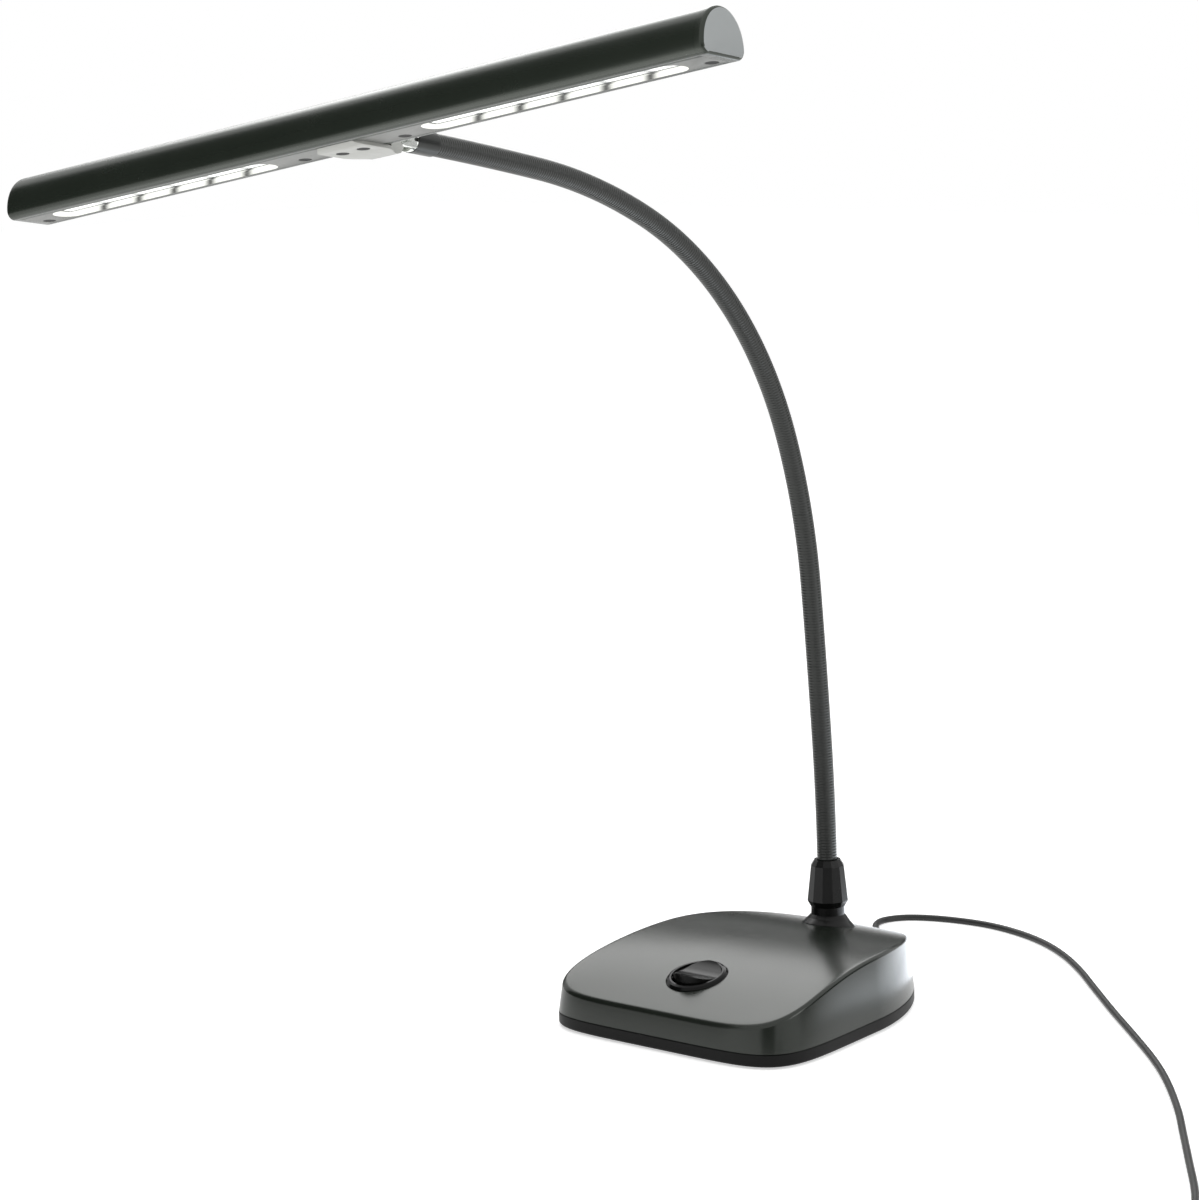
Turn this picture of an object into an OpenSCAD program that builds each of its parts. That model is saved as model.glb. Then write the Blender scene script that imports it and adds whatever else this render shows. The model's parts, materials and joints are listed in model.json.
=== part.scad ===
// Piano lamp: a weighted base with a rocker switch, a bendable neck and a slim bar
// head with twelve lights. Millimetres, +Z up, +X to the right, and the head reaches
// forward along -Y. The origin is on the table, straight below the foot of the neck.

/* [Base] */
// Width of the base halfway along
base_w = 139; // [128:1:160]
// Depth of the base from front to back
base_d = 176; // [166:1:200]
// How far the base reaches behind the neck
base_back = 37.5; // [34:0.5:50]
// Share by which the plan widens towards the front
base_taper = 0.12; // [0:0.01:0.2]
// Height of the top at the front edge
front_h = 18.2; // [16:0.1:24]
// Height of the top a third of the way back
rise_h = 33.6; // [30:0.1:40]
// Height of the top two thirds of the way back
crest_h = 36.2; // [32:0.1:44]
// Height of the top at the back edge
back_h = 24.5; // [20:0.1:36]
// Extra height along the middle of the top
base_crown = 0.6; // [0:0.1:1.5]
// Lean of the side walls, as inset per millimetre of height
base_draft = 0.12; // [0.05:0.01:0.2]
// Rounding of the top edge
edge_r = 1.8; // [1:0.1:3]
// Wall of the moulded base shell
shell_t = 2.4; // [1.6:0.1:3]
// Height of the seam between the tray and the shell
seam_z = 7; // [6:0.5:9]
// Floor and wall thickness of the tray
tray_t = 2.2; // [1.6:0.1:3]
// Thickness of the soft pad under the base
pad_t = 1.8; // [1.4:0.1:2.4]
// Height by which the pad lifts the tray off the table
pad_proud = 0.8; // [0.5:0.1:1.2]
// Thickness of the steel weight
ballast_t = 6; // [4:0.5:8]

/* [Switch] */
// How far the switch sits in front of the neck
switch_ahead = 103.5; // [98:0.5:108]
// Radius of the switch bezel
bezel_r = 15.2; // [14.6:0.1:16.5]
// Height of the bezel above its seat
bezel_h = 2.4; // [2:0.1:3]
// Radius of the switch barrel below the bezel
barrel_r = 13.3; // [13:0.1:13.8]
// Depth of the switch barrel
barrel_h = 11.5; // [10:0.5:12]
// Radius of the rocker
rocker_r = 11.5; // [10.5:0.1:11.7]
// Angle at which the rocker rests, half of its throw
rocker_rest = 8; // [5:1:9]

/* [Neck] */
// Outer radius of the neck's ribbed winding
neck_r = 5; // [4.8:0.1:5.2]
// Length of the neck along its middle
neck_len = 544; // [500:1:600]
// Height at which the neck starts to bend
neck_z = 50; // [48:0.5:54]
// Spacing of the ribs along the neck
rib_pitch = 4; // [4:0.5:8]
// Depth of the grooves between the ribs
rib_h = 0.5; // [0.3:0.05:0.6]
// Radius of the inner winding
core_r = 3.6; // [3.4:0.05:3.7]
// Radius of the channel for the lead inside the neck
lead_r = 1.1; // [0.8:0.1:1.2]
// Radius of the ball in each bending joint
ball_r = 3; // [2.8:0.05:3.1]
// Radius of the flange at the foot of the neck
flange_r = 13.3; // [12:0.1:15]
// Radius of the gland nut across its lower corners
gland_r = 10.4; // [9.6:0.1:11.5]
// Height of the gland nut
gland_h = 23.5; // [20:0.5:25]

/* [Head] */
// Length of the head with its end caps
head_l = 402; // [380:1:440]
// Width of the head's section
head_w = 26.8; // [26:0.1:30]
// Height of the head's section
head_h = 20.3; // [19:0.1:24]
// Height of the rounded lower edge of the section
lip_h = 4.3; // [4:0.1:5]
// Wall of the head's housing
head_wall = 1.5; // [1.2:0.1:1.8]
// Thickness of each end cap
cap_t = 5; // [4:0.5:7]
// Thickness of the plate under the head
plate_t = 2; // [1.6:0.1:2.4]
// Distance from the middle of the head to its windows
window_start = 44.2; // [42:0.1:47]
// Distance from the windows to the screws at the ends of the head
window_end = 10.2; // [9:0.1:14]
// Spacing of the lights
led_pitch = 22.7; // [22:0.1:24]
// Width of the light windows
window_w = 14; // [12:0.5:15]
// Margin of the plate beside the windows
window_margin = 2.3; // [1.8:0.1:2.8]
// Roll of the head about the end of the neck
head_roll = 10.2; // [-30:0.2:30]
// Tilt of the head about its pivot pin
head_tilt = 1.2; // [-30:0.2:30]

/* [Bracket] */
// Distance from the middle of the head back to the pivot pin
bracket_reach = 30.6; // [30:0.1:36]
// Height of the pivot pin above the underside of the head
pivot_rise = 7.6; // [7.2:0.1:9]
// Radius of the bracket's tip around the pin
tip_r = 4.2; // [4:0.1:4.4]
// Width of the bracket's tip
tip_w = 6; // [5:0.2:7]
// Radius of the pivot pin
pin_r = 1.5; // [1.2:0.1:1.8]

/* [Cord] */
// Diameter of the cord
cord_d = 3.4; // [3:0.1:4]
// Loops in the stored coil
coil_turns = 9.25; // [8.25:1:10.25]
// Length of the plug-in power supply
adapter_l = 52; // [44:1:60]
// Width of the power supply
adapter_w = 34; // [30:1:40]
// Height of the power supply
adapter_h = 28; // [26:1:32]

/* [Hidden] */
link_count = 7;

// Named clearances
running = 0.05;
seat_gap = 0.1;
loose = 0.3;
sink = 0.6;
past = 1;

// ---------------------------------------------------------------- base outline
front_square = 5.8;
back_square = 2;
plan_step = 6;
plan_n = 360 / plan_step;
base_front_y = base_back - base_d;
base_mid_y = base_back - base_d / 2;

function power(v, e) = sign(v) * pow(abs(v), e);
function plan_point(a, inset) =
    let (n = a > 180 ? front_square : back_square,
         y = base_mid_y + (base_d / 2 - inset) * power(sin(a), 2 / n),
         widen = 1 - base_taper * (y - base_mid_y) / (base_d / 2))
    [(base_w / 2 * widen - inset) * power(cos(a), 2 / n), y];
function plan(inset) = [for (i = [0:plan_n - 1]) plan_point(i * plan_step, inset)];

// Height of the top along the middle: one smooth curve through four heights
function top_z(y) =
    let (a = 3 * (y - base_front_y) / base_d)
    front_h * (1 - a) * (2 - a) * (3 - a) / 6 + rise_h * a * (2 - a) * (3 - a) / 2
    + crest_h * a * (a - 1) * (3 - a) / 2 + back_h * a * (a - 1) * (a - 2) / 6;

// A point of the side wall, drop below the top and set in by extra
function side_point(a, w, drop, extra) =
    let (foot = plan_point(a, w), z = top_z(foot.y) - drop - w,
         p = plan_point(a, w + base_draft * z + extra))
    [p.x, p.y, top_z(p.y) - drop - w];
function top_point(a, w, f) =
    let (rim = side_point(a, w, 0, edge_r), x = rim.x * f,
         y = base_mid_y + (rim.y - base_mid_y) * f)
    [x, y, top_z(y) + base_crown * (1 - f * f) - w];
function skin_ring(i, w, bottom) =
    [for (k = [0:plan_n - 1])
        let (a = k * plan_step, p = plan_point(a, w + base_draft * bottom))
        i == 0 ? [p.x, p.y, bottom] :
        i == 1 ? side_point(a, w, edge_r, 0) :
        i == 2 ? side_point(a, w, 0.3 * edge_r, 0.3 * edge_r) :
        top_point(a, w, top_shares[i - 3])];
top_shares = [1, 0.8, 0.55, 0.3];
skin_rings = 3 + len(top_shares);

// Faces between rings of n points each, as triangles that face outwards
function band(a, b, c, d) = [[a, d, c], [a, c, b]];
function tube_faces(n, rings) =
    [for (r = [0:rings - 2], i = [0:n - 1], t = [0:1])
        let (j = (i + 1) % n)
        band(r * n + i, r * n + j, (r + 1) * n + j, (r + 1) * n + i)[t]];
function cap_faces(n, first, centre, up) =
    [for (i = [0:n - 1])
        let (j = (i + 1) % n)
        up ? [centre, first + j, first + i] : [centre, first + i, first + j]];

module skin(w, bottom) {
    points = concat([for (i = [0:skin_rings - 1]) each skin_ring(i, w, bottom)],
                    [[0, base_mid_y, bottom],
                     [0, base_mid_y, top_z(base_mid_y) + base_crown - w]]);
    count = skin_rings * plan_n;
    polyhedron(points, concat(tube_faces(plan_n, skin_rings),
                              cap_faces(plan_n, 0, count, false),
                              cap_faces(plan_n, count - plan_n, count + 1, true)));
}

module slab(inset, low, high) {
    translate([0, 0, low]) linear_extrude(high - low) polygon(plan(inset));
}

// ---------------------------------------------------------------- base pieces
tray_inset = 0.8;
tray_floor = pad_t + tray_t;
boss_r = 4;
boss_front = [base_w / 2 - 21.5, base_front_y + 26.5];
boss_back = [base_w / 2 - 29.5, base_back - 35.5];
boss_places = [[-boss_front.x, boss_front.y], boss_front, [-boss_back.x, boss_back.y], boss_back];
screw_r = 1.5;
screw_head_r = 2.8;
screw_head_h = 1.1;
tray_screw_l = 11;
pad_inset = 6;
ballast_inset = 8;
ballast_top = tray_floor + ballast_t;
ballast_screw_x = 25;
ballast_screw_r = 2;
neck_seat = top_z(0) - sink;
foot_slope = atan(top_z(0.5) - top_z(-0.5));
neck_boss_r = 12;
neck_boss_h = 7;
shank_r = 6;
shank_past_nut = 2;
switch_y = -switch_ahead;
switch_seat = top_z(switch_y) - sink;
switch_slope = atan(top_z(switch_y + 0.5) - top_z(switch_y - 0.5));
grommet_z = 12.2;
grommet_r = 3.5;
grommet_lip = 1.4;
grommet_y = plan_point(90, base_draft * grommet_z).y;

module at_switch() {
    translate([0, switch_y, switch_seat]) rotate([switch_slope, 0, 0]) children();
}
module at_foot() {
    translate([0, 0, neck_seat]) rotate([foot_slope, 0, 0]) children();
}
module at_bosses() {
    for (p = boss_places) translate([p.x, p.y, 0]) children();
}
module at_ballast_screws() {
    for (x = [-1, 1]) translate([x * ballast_screw_x, base_mid_y, 0]) children();
}

module base_shell() {
    color("#2b2e2c") difference() {
        union() {
            difference() {
                skin(0, seam_z);
                skin(shell_t, seam_z - past);
            }
            intersection() {
                skin(0.5, tray_floor);
                union() {
                    at_bosses() translate([0, 0, tray_floor + seat_gap])
                        cylinder(h = crest_h, r = boss_r, $fn = 32);
                    translate([0, 0, neck_seat - neck_boss_h])
                        cylinder(h = 2 * neck_boss_h, r = neck_boss_r, $fn = 48);
                }
            }
        }
        at_bosses() translate([0, 0, tray_floor]) cylinder(h = tray_screw_l, r = screw_r + running, $fn = 24);
        at_foot() cylinder(h = 6, r = flange_r + seat_gap, $fn = 64);
        translate([0, 0, neck_seat - neck_boss_h - past])
            cylinder(h = 2 * neck_boss_h + past, r = shank_r + seat_gap, $fn = 48);
        at_switch() cylinder(h = 6, r = bezel_r + seat_gap, $fn = 64);
        at_switch() translate([0, 0, -8]) cylinder(h = 12, r = barrel_r + seat_gap, $fn = 64);
        translate([0, grommet_y - 8, grommet_z]) rotate([-90, 0, 0])
            cylinder(h = 14, r = grommet_r + seat_gap, $fn = 32);
    }
}

module base_tray() {
    foot = tray_t / 2;
    color("#161816") difference() {
        union() {
            slab(tray_inset + foot, pad_proud, pad_proud + foot);
            slab(tray_inset, pad_proud + foot, seam_z);
        }
        slab(tray_inset + tray_t, tray_floor, seam_z + past);
        slab(pad_inset - seat_gap, 0, pad_t);
        at_bosses() cylinder(h = seam_z, r = screw_r + running, $fn = 24);
        at_bosses() cylinder(h = pad_t + screw_head_h + seat_gap, r = screw_head_r + seat_gap, $fn = 32);
        at_ballast_screws() translate([0, 0, tray_floor - tray_t / 2])
            cylinder(h = tray_t, r = ballast_screw_r + running, $fn = 24);
    }
}

module base_pad() {
    color("#1f1f1f") slab(pad_inset, 0, pad_t);
}

module ballast_plate() {
    color("#6f7273") difference() {
        slab(ballast_inset, tray_floor, ballast_top);
        at_bosses() cylinder(h = ballast_top + past, r = boss_r + loose, $fn = 32);
        terminals(loose);
        at_ballast_screws() cylinder(h = ballast_top + past, r = ballast_screw_r + running, $fn = 24);
    }
}

module tray_screws() {
    color("#8c8f90") at_bosses() {
        translate([0, 0, pad_t + seat_gap / 2]) cylinder(h = screw_head_h, r = screw_head_r, $fn = 32);
        translate([0, 0, pad_t + screw_head_h]) cylinder(h = tray_screw_l, r = screw_r, $fn = 24);
    }
}

module ballast_screws() {
    color("#8c8f90") at_ballast_screws() {
        translate([0, 0, ballast_top]) cylinder(h = 2, r = 3.6, $fn = 32);
        translate([0, 0, tray_floor - tray_t / 2 + seat_gap])
            cylinder(h = ballast_t + tray_t / 2, r = ballast_screw_r, $fn = 24);
    }
}

board_x = 30;
board_y = base_mid_y + 8.5;
board_l = 44;
board_w = 30;
board_t = 1.6;
post_h = 4;
board_z = ballast_top + post_h;

module board_posts() {
    color("#e8e6da") for (x = [-1, 1], y = [-1, 1])
        translate([board_x + x * (board_w / 2 - 4), board_y + y * (board_l / 2 - 4), ballast_top])
            cylinder(h = post_h, r = 2.4, $fn = 24);
}

module driver_board() {
    color("#1f5a3a") translate([board_x - board_w / 2, board_y - board_l / 2, board_z])
        cube([board_w, board_l, board_t]);
}

module driver_parts() {
    color("#3a3a3c") translate([board_x, board_y, board_z + board_t]) {
        translate([-6, -12, 0]) cylinder(h = 9, r = 4, $fn = 32);
        translate([6, -13, 0]) cylinder(h = 7, r = 3, $fn = 32);
        translate([-10, 0, 0]) cube([9, 8, 4]);
        translate([3, -2, 0]) cube([6, 6, 1.5]);
        translate([-5, 13, 0]) cube([12, 6, 6]);
    }
}

// ---------------------------------------------------------------- switch
well_r = rocker_r + 0.9;
pivot_z = -2;
switch_pin_r = 1;
rocker_end_h = 5;
dish_r = 22;
dish_floor = 1.8;
blade_w = 4.8;
blade_t = 0.8;
blade_l = 5;
blade_y = 5;

module switch_bezel() {
    color("#151615") at_switch() difference() {
        union() {
            translate([0, 0, -barrel_h]) cylinder(h = barrel_h + past / 2, r = barrel_r, $fn = 64);
            rotate_extrude($fn = 96)
                polygon([[well_r - 0.2, 0], [bezel_r, 0], [bezel_r, 0.9], [bezel_r - 0.9, 2.0],
                         [bezel_r - 2, bezel_h], [well_r - 0.2, bezel_h]]);
        }
        translate([0, 0, 1.5 - barrel_h]) cylinder(h = barrel_h + bezel_h, r = well_r, $fn = 64);
        translate([0, 0, pivot_z]) rotate([0, 90, 0])
            cylinder(h = 2 * barrel_r + 2, r = switch_pin_r + running / 2, center = true, $fn = 24);
    }
}

module rocker() {
    color("#101110") at_switch() translate([0, 0, pivot_z]) rotate([-rocker_rest, 0, 0])
        translate([0, 0, -pivot_z]) difference() {
            translate([0, 0, pivot_z - 2]) cylinder(h = rocker_end_h + 2 - pivot_z, r = rocker_r, $fn = 64);
            translate([0, 0, dish_floor + dish_r]) rotate([0, 90, 0])
                cylinder(h = 3 * rocker_r, r = dish_r, center = true, $fn = 96);
            translate([0, 0, pivot_z]) rotate([0, 90, 0])
                cylinder(h = 3 * rocker_r, r = switch_pin_r + running, center = true, $fn = 24);
        }
}

module rocker_pin() {
    color("#9a9c9d") at_switch() translate([0, 0, pivot_z]) rotate([0, 90, 0])
        cylinder(h = 2 * barrel_r - 0.4, r = switch_pin_r, center = true, $fn = 24);
}

// The two blades under the switch, or the room around them
module terminals(room) {
    at_switch() for (y = [-1, 1])
        translate([-blade_w / 2 - room, y * blade_y - blade_t / 2 - room, -barrel_h - blade_l - room])
            cube([blade_w + 2 * room, blade_t + 2 * room, blade_l + room]);
}
module switch_terminals() {
    color("#c9a24a") terminals(0);
}

// ---------------------------------------------------------------- foot of the neck
throat_r = 8.4;
stub_r = 7;
stub_top = 26;
throat_h = 10.5;
gland_z = neck_seat + throat_h;
gland_sides = 12;
gland_turn = 22;
nut_h = 5;
core_root = 14;
jacket_root = 6;
shank_low = neck_seat - neck_boss_h - nut_h - shank_past_nut;
jacket_low = neck_z - jacket_root - loose;

module neck_flange() {
    color("#141514") difference() {
        union() {
            at_foot() rotate_extrude($fn = 96)
                polygon([[0, 0], [flange_r, 0], [flange_r, 1], [flange_r - 0.8, 1.8], [throat_r + 2.4, 3.4],
                         [throat_r + 0.9, 5.2], [throat_r - 1.4, 7.8], [0, 7.8]]);
            translate([0, 0, neck_seat + 1.6]) cylinder(h = throat_h - 1.7, r = throat_r, $fn = 96);
            translate([0, 0, neck_seat + 1.6]) cylinder(h = stub_top - 1.6, r = stub_r, $fn = 96);
            translate([0, 0, shank_low]) cylinder(h = neck_seat + 2 - shank_low, r = shank_r, $fn = 48);
        }
        translate([0, 0, jacket_low]) cylinder(h = stub_top, r = neck_r + seat_gap, $fn = 48);
        translate([0, 0, shank_low - past])
            cylinder(h = jacket_low - shank_low + 2 * past, r = core_r + running, $fn = 48);
    }
}

module gland_nut() {
    skirt = 3;
    crown = 3;
    top_r = 0.81 * gland_r;
    rim_r = neck_r + 1.6;
    color("#131413") translate([0, 0, gland_z]) difference() {
        rotate([0, 0, gland_turn]) union() {
            cylinder(h = skirt, r1 = throat_r + 0.3, r2 = gland_r, $fn = gland_sides);
            translate([0, 0, skirt])
                cylinder(h = gland_h - skirt - crown, r1 = gland_r, r2 = top_r, $fn = gland_sides);
            translate([0, 0, gland_h - crown]) cylinder(h = crown, r1 = top_r, r2 = rim_r, $fn = gland_sides);
        }
        translate([0, 0, -past])
            cylinder(h = stub_top - throat_h + past + loose, r = stub_r + running, $fn = 64);
        cylinder(h = gland_h + past, r = neck_r + loose, $fn = 64);
    }
}

module lock_nut() {
    color("#8c8f90") translate([0, 0, neck_seat - neck_boss_h - nut_h]) difference() {
        cylinder(h = nut_h, r = 10, $fn = 6);
        translate([0, 0, -past]) cylinder(h = nut_h + 2 * past, r = shank_r + running, $fn = 48);
    }
}

// ---------------------------------------------------------------- neck
// The neck is a chain of arcs. Each turns by its own angle, and a ball joins it to the next.
neck_turns = [4.5, 1.5, 14.5, 22, 21.5, 14, 2];
link_len = neck_len / link_count;
joint_gap = 1.2;
ball_step = 2.6;
cup_rim = 0.8;
stem_r = 2;
mouth_r = lead_r + 0.25;
rib_sides = 8;
bore_step = 10;

function turned(k) = k <= 0 ? 0 : neck_turns[k - 1] + turned(k - 1);
function arc_r(k) = link_len / (neck_turns[k] * PI / 180);
function arc_angle(k, s) = max(0, s) / arc_r(k) * 180 / PI;
function link_step(k) =
    let (a = turned(k), y = -arc_r(k) * (1 - cos(neck_turns[k])), z = arc_r(k) * sin(neck_turns[k]))
    [0, y * cos(a) - z * sin(a), y * sin(a) + z * cos(a)];
function link_start(k) = k <= 0 ? [0, 0, neck_z] : link_start(k - 1) + link_step(k - 1);

module at_link(k) {
    translate(link_start(k)) rotate([turned(k), 0, 0]) children();
}

// A round rod along the arc of link k, from s0 to s1, in the link's own frame
module arc_rod(k, r, s0, s1) {
    translate([0, -arc_r(k), 0]) rotate([90, 0, 90]) rotate([0, 0, s0 / arc_r(k) * 180 / PI])
        rotate_extrude(angle = (s1 - s0) / arc_r(k) * 180 / PI, $fn = 360)
            translate([arc_r(k), 0]) circle(r = r, $fn = 48);
}

module at_link_end(k) {
    translate([0, -arc_r(k) * (1 - cos(neck_turns[k])), arc_r(k) * sin(neck_turns[k])])
        rotate([neck_turns[k], 0, 0]) children();
}

module neck_core(k) {
    first = k == 0;
    last = k == link_count - 1;
    s0 = first ? 0 : -cup_rim;
    s1 = link_len - (last ? tip_depth : ball_step);
    color("#55585a") at_link(k) difference() {
        union() {
            arc_rod(k, core_r, s0, s1);
            if (first) translate([0, 0, -core_root]) cylinder(h = core_root, r = core_r - 0.1, $fn = 48);
            if (!last) at_link_end(k) {
                translate([0, 0, -ball_step - past]) cylinder(h = ball_step + past, r = stem_r, $fn = 32);
                sphere(r = ball_r, $fn = 48);
            }
        }
        if (!first) sphere(r = ball_r + running, $fn = 48);
        arc_rod(k, lead_r, s0 - past, s1 + past);
        if (first) translate([0, 0, -core_root - past])
            cylinder(h = core_root + past / 2, r = mouth_r, $fn = 24);
        if (!last) at_link_end(k)
            translate([0, 0, -ball_step - 2]) cylinder(h = ball_step + ball_r + 4, r = mouth_r, $fn = 24);
    }
}

// One ring of the winding at distance s along link k
function link_ring(k, s, r) =
    let (a = arc_angle(k, s), up = min(0, s))
    [for (i = [0:rib_sides - 1])
        let (t = (i + 0.5) * 360 / rib_sides, y = r * sin(t))
        [r * cos(t), -arc_r(k) * (1 - cos(a)) + y * cos(a), arc_r(k) * sin(a) + y * sin(a) + up]];

module neck_winding(k) {
    s0 = k == 0 ? -jacket_root : joint_gap;
    s1 = link_len - (k == link_count - 1 ? tip_cover + seat_gap : joint_gap);
    ribs = floor((s1 - s0) / rib_pitch);
    step = (s1 - s0) / ribs;
    bores = ceil((s1 - s0) / bore_step);
    bore_r = (core_r + 0.15) / cos(180 / rib_sides);
    rings = concat(
        [for (i = [0:ribs - 1]) each [[s0 + i * step, neck_r - rib_h], [s0 + (i + 0.5) * step, neck_r]]],
        [[s1, neck_r - rib_h]],
        [for (i = [0:bores]) [s1 - (s1 - s0) * i / bores, bore_r]]);
    closed = concat(rings, [rings[0]]);
    count = len(rings) * rib_sides;
    faces = tube_faces(rib_sides, len(closed));
    color("#2a2b2a") at_link(k) polyhedron([for (g = rings) each link_ring(k, g[0], g[1])],
        [for (f = faces) [f[0] % count, f[1] % count, f[2] % count]]);
}

// ---------------------------------------------------------------- tip of the neck and swivel
tip_outer_r = 5.5;
tip_cover = 8;
tip_depth = 4.2;
tip_face = 5;
stud_r = 2;
stud_head_r = 3;
pivot_ahead = 13;
yoke_t = 2.5;
ear_t = 2;
ear_in = tip_w / 2 + running;
ear_r = tip_r + 0.2;
tip_angle = turned(link_count);
tip_pos = link_start(link_count);
pivot = tip_pos + pivot_ahead * [0, -sin(tip_angle), cos(tip_angle)];

module at_tip() {
    translate(tip_pos) rotate([tip_angle, 0, 0]) children();
}
module at_pivot() {
    translate(pivot) rotate([tip_angle, 0, 0]) rotate([0, 0, head_roll]) children();
}

module neck_tip() {
    color("#1c1d1c") at_tip() difference() {
        translate([0, 0, -tip_cover]) cylinder(h = tip_cover + tip_face, r = tip_outer_r, $fn = 64);
        translate([0, 0, -tip_cover - past])
            cylinder(h = tip_cover - tip_depth + past + seat_gap, r = core_r + running, $fn = 48);
        translate([0, 0, -tip_depth]) cylinder(h = 2, r = stud_head_r + seat_gap, $fn = 48);
        translate([0, 0, -tip_depth])
            cylinder(h = tip_depth + tip_face + past, r = stud_r + running, $fn = 32);
    }
}

module swivel_yoke() {
    base_low = tip_face + seat_gap - pivot_ahead;
    color("#d4d6d8") at_pivot() difference() {
        union() {
            translate([0, 0, base_low]) cylinder(h = yoke_t, r = tip_outer_r - 0.2, $fn = 64);
            translate([0, 0, -pivot_ahead - 2.5])
                cylinder(h = pivot_ahead + base_low + 3, r = stud_r, $fn = 32);
            translate([0, 0, -pivot_ahead - tip_depth + 0.2]) cylinder(h = 1.5, r = stud_head_r, $fn = 48);
            for (x = [-1, 1]) translate([x * (ear_in + ear_t / 2), 0, 0]) {
                translate([-ear_t / 2, -ear_r, base_low + yoke_t / 2])
                    cube([ear_t, 2 * ear_r, -base_low - yoke_t / 2]);
                rotate([0, 90, 0]) cylinder(h = ear_t, r = ear_r, center = true, $fn = 64);
            }
        }
        rotate([0, 90, 0]) cylinder(h = 4 * tip_outer_r, r = pin_r + running, center = true, $fn = 32);
    }
}

module pivot_pin() {
    reach = ear_in + ear_t;
    color("#c4c6c8") at_pivot() rotate([0, 90, 0]) {
        translate([0, 0, -reach - 1.6]) cylinder(h = 2 * reach + 4.6, r = pin_r, $fn = 32);
        translate([0, 0, -reach - 1.6]) cylinder(h = 1.6, r = 2.8, $fn = 48);
    }
}

module pivot_nut() {
    color("#9fa2a4") at_pivot() rotate([0, 90, 0]) translate([0, 0, ear_in + ear_t]) difference() {
        cylinder(h = 2.2, r = 3, $fn = 6);
        translate([0, 0, -past]) cylinder(h = 4.2, r = pin_r + running, $fn = 32);
    }
}

// ---------------------------------------------------------------- head
// In the head's own frame x runs along the bar, y to its back and z up, from the
// middle of the flat underside.
module at_head() {
    at_pivot() rotate([-90, 0, 0]) rotate([head_tilt, 0, 0])
        translate([0, -bracket_reach, -pivot_rise]) children();
}
module along_head(length) {
    translate([-length / 2, 0, 0]) rotate([90, 0, 90]) linear_extrude(length) children();
}

dome_n = 24;
lip_n = 4;
function dome(half, low, high) =
    [for (i = [0:dome_n]) [half * cos(180 * i / dome_n), low + (high - low) * sin(180 * i / dome_n)]];
// The rounded lower edge, from the flat underside up towards the dome
function lower_edge(half, inset) =
    [for (i = [0:lip_n - 1])
        let (t = 90 * i / lip_n)
        [half - lip_w * (1 - sin(t)), inset + (lip_h - inset) * (1 - cos(t))]];
function section(inset) =
    let (half = head_w / 2 - inset, edge = lower_edge(half, inset))
    concat(dome(half, lip_h, head_h - inset), [for (i = [lip_n - 1:-1:0]) [-edge[i].x, edge[i].y]], edge);

housing_l = head_l - 2 * cap_t;
end_screw_x = housing_l / 2 - 5;
plate_half = window_w / 2 + window_margin;
lip_flat = 0.6;
lip_w = head_w / 2 - plate_half - lip_flat;
ledge_in = plate_half - 0.8;
ledge_t = 1.4;
ledge_top = max(plate_t + ledge_t, lip_h);
window_l = end_screw_x - window_end - window_start;
window_mid = window_start + window_l / 2;
led_count = floor(window_l / led_pitch + running);
cup_wall = 3.2;
cup_r = window_w / 2 - 0.4;
cup_floor_r = 2.6;
chip_w = 3.2;
chip_t = 1.2;
cover_t = 1;
cover_lap = 1.5;
cup_h = 6;
cover_top = plate_t + cover_t;
board_low = cover_top + cup_h;
led_board_t = 1.6;
led_board_top = board_low + led_board_t;
block_half_x = 36;
block_half_y = ledge_in - loose;
block_top = 11;
mid_screw_x = 29;
plate_screw_y = 4;
bracket_screw_x = 6;
bracket_screw_y = 3;

// The inside of the housing above its ledges, drawn in by a clearance
module hollow(inset) {
    intersection() {
        polygon(dome(head_w / 2 - head_wall - inset, lip_h, head_h - head_wall - inset));
        translate([-head_w / 2, ledge_top + inset]) square([head_w, head_h]);
    }
}

module head_housing() {
    color("#2a2d2b") at_head() along_head(housing_l) difference() {
        polygon(section(0));
        hollow(0);
        translate([-plate_half - seat_gap, -past]) square([2 * (plate_half + seat_gap), plate_t + past]);
        translate([-ledge_in, plate_t - past]) square([2 * ledge_in, ledge_top - plate_t + 2 * past]);
    }
}

module at_plate_screws() {
    for (x = [-end_screw_x, -mid_screw_x, mid_screw_x, end_screw_x])
        translate([x, plate_screw_y, 0]) children();
}

module window_shape(w, l) {
    translate([-l / 2 + w / 2, -w / 2]) square([l - w, w]);
    for (x = [-1, 1]) translate([x * (l - w) / 2, 0]) circle(d = w, $fn = 64);
}

module head_plate() {
    color("#8f9391") at_head() difference() {
        translate([-housing_l / 2, -plate_half, 0]) cube([housing_l, 2 * plate_half, plate_t]);
        for (x = [-1, 1]) translate([x * window_mid, 0, -past])
            linear_extrude(plate_t + 2 * past) window_shape(window_w, window_l);
        at_plate_screws() translate([0, 0, -past]) cylinder(h = 5, r = screw_r + running, $fn = 24);
        at_plate_screws() translate([0, 0, -past])
            cylinder(h = past + screw_head_h, r = screw_head_r + seat_gap, $fn = 32);
        for (x = [-1, 1]) translate([x * bracket_screw_x, bracket_screw_y, -past])
            cylinder(h = 5, r = screw_r + running, $fn = 24);
    }
}

module plate_screws() {
    color("#3a3c3b") at_head() at_plate_screws() {
        translate([0, 0, 0.1]) cylinder(h = screw_head_h - 0.1, r = screw_head_r, $fn = 32);
        translate([0, 0, screw_head_h - 0.1]) cylinder(h = 7, r = screw_r, $fn = 24);
    }
}

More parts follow.
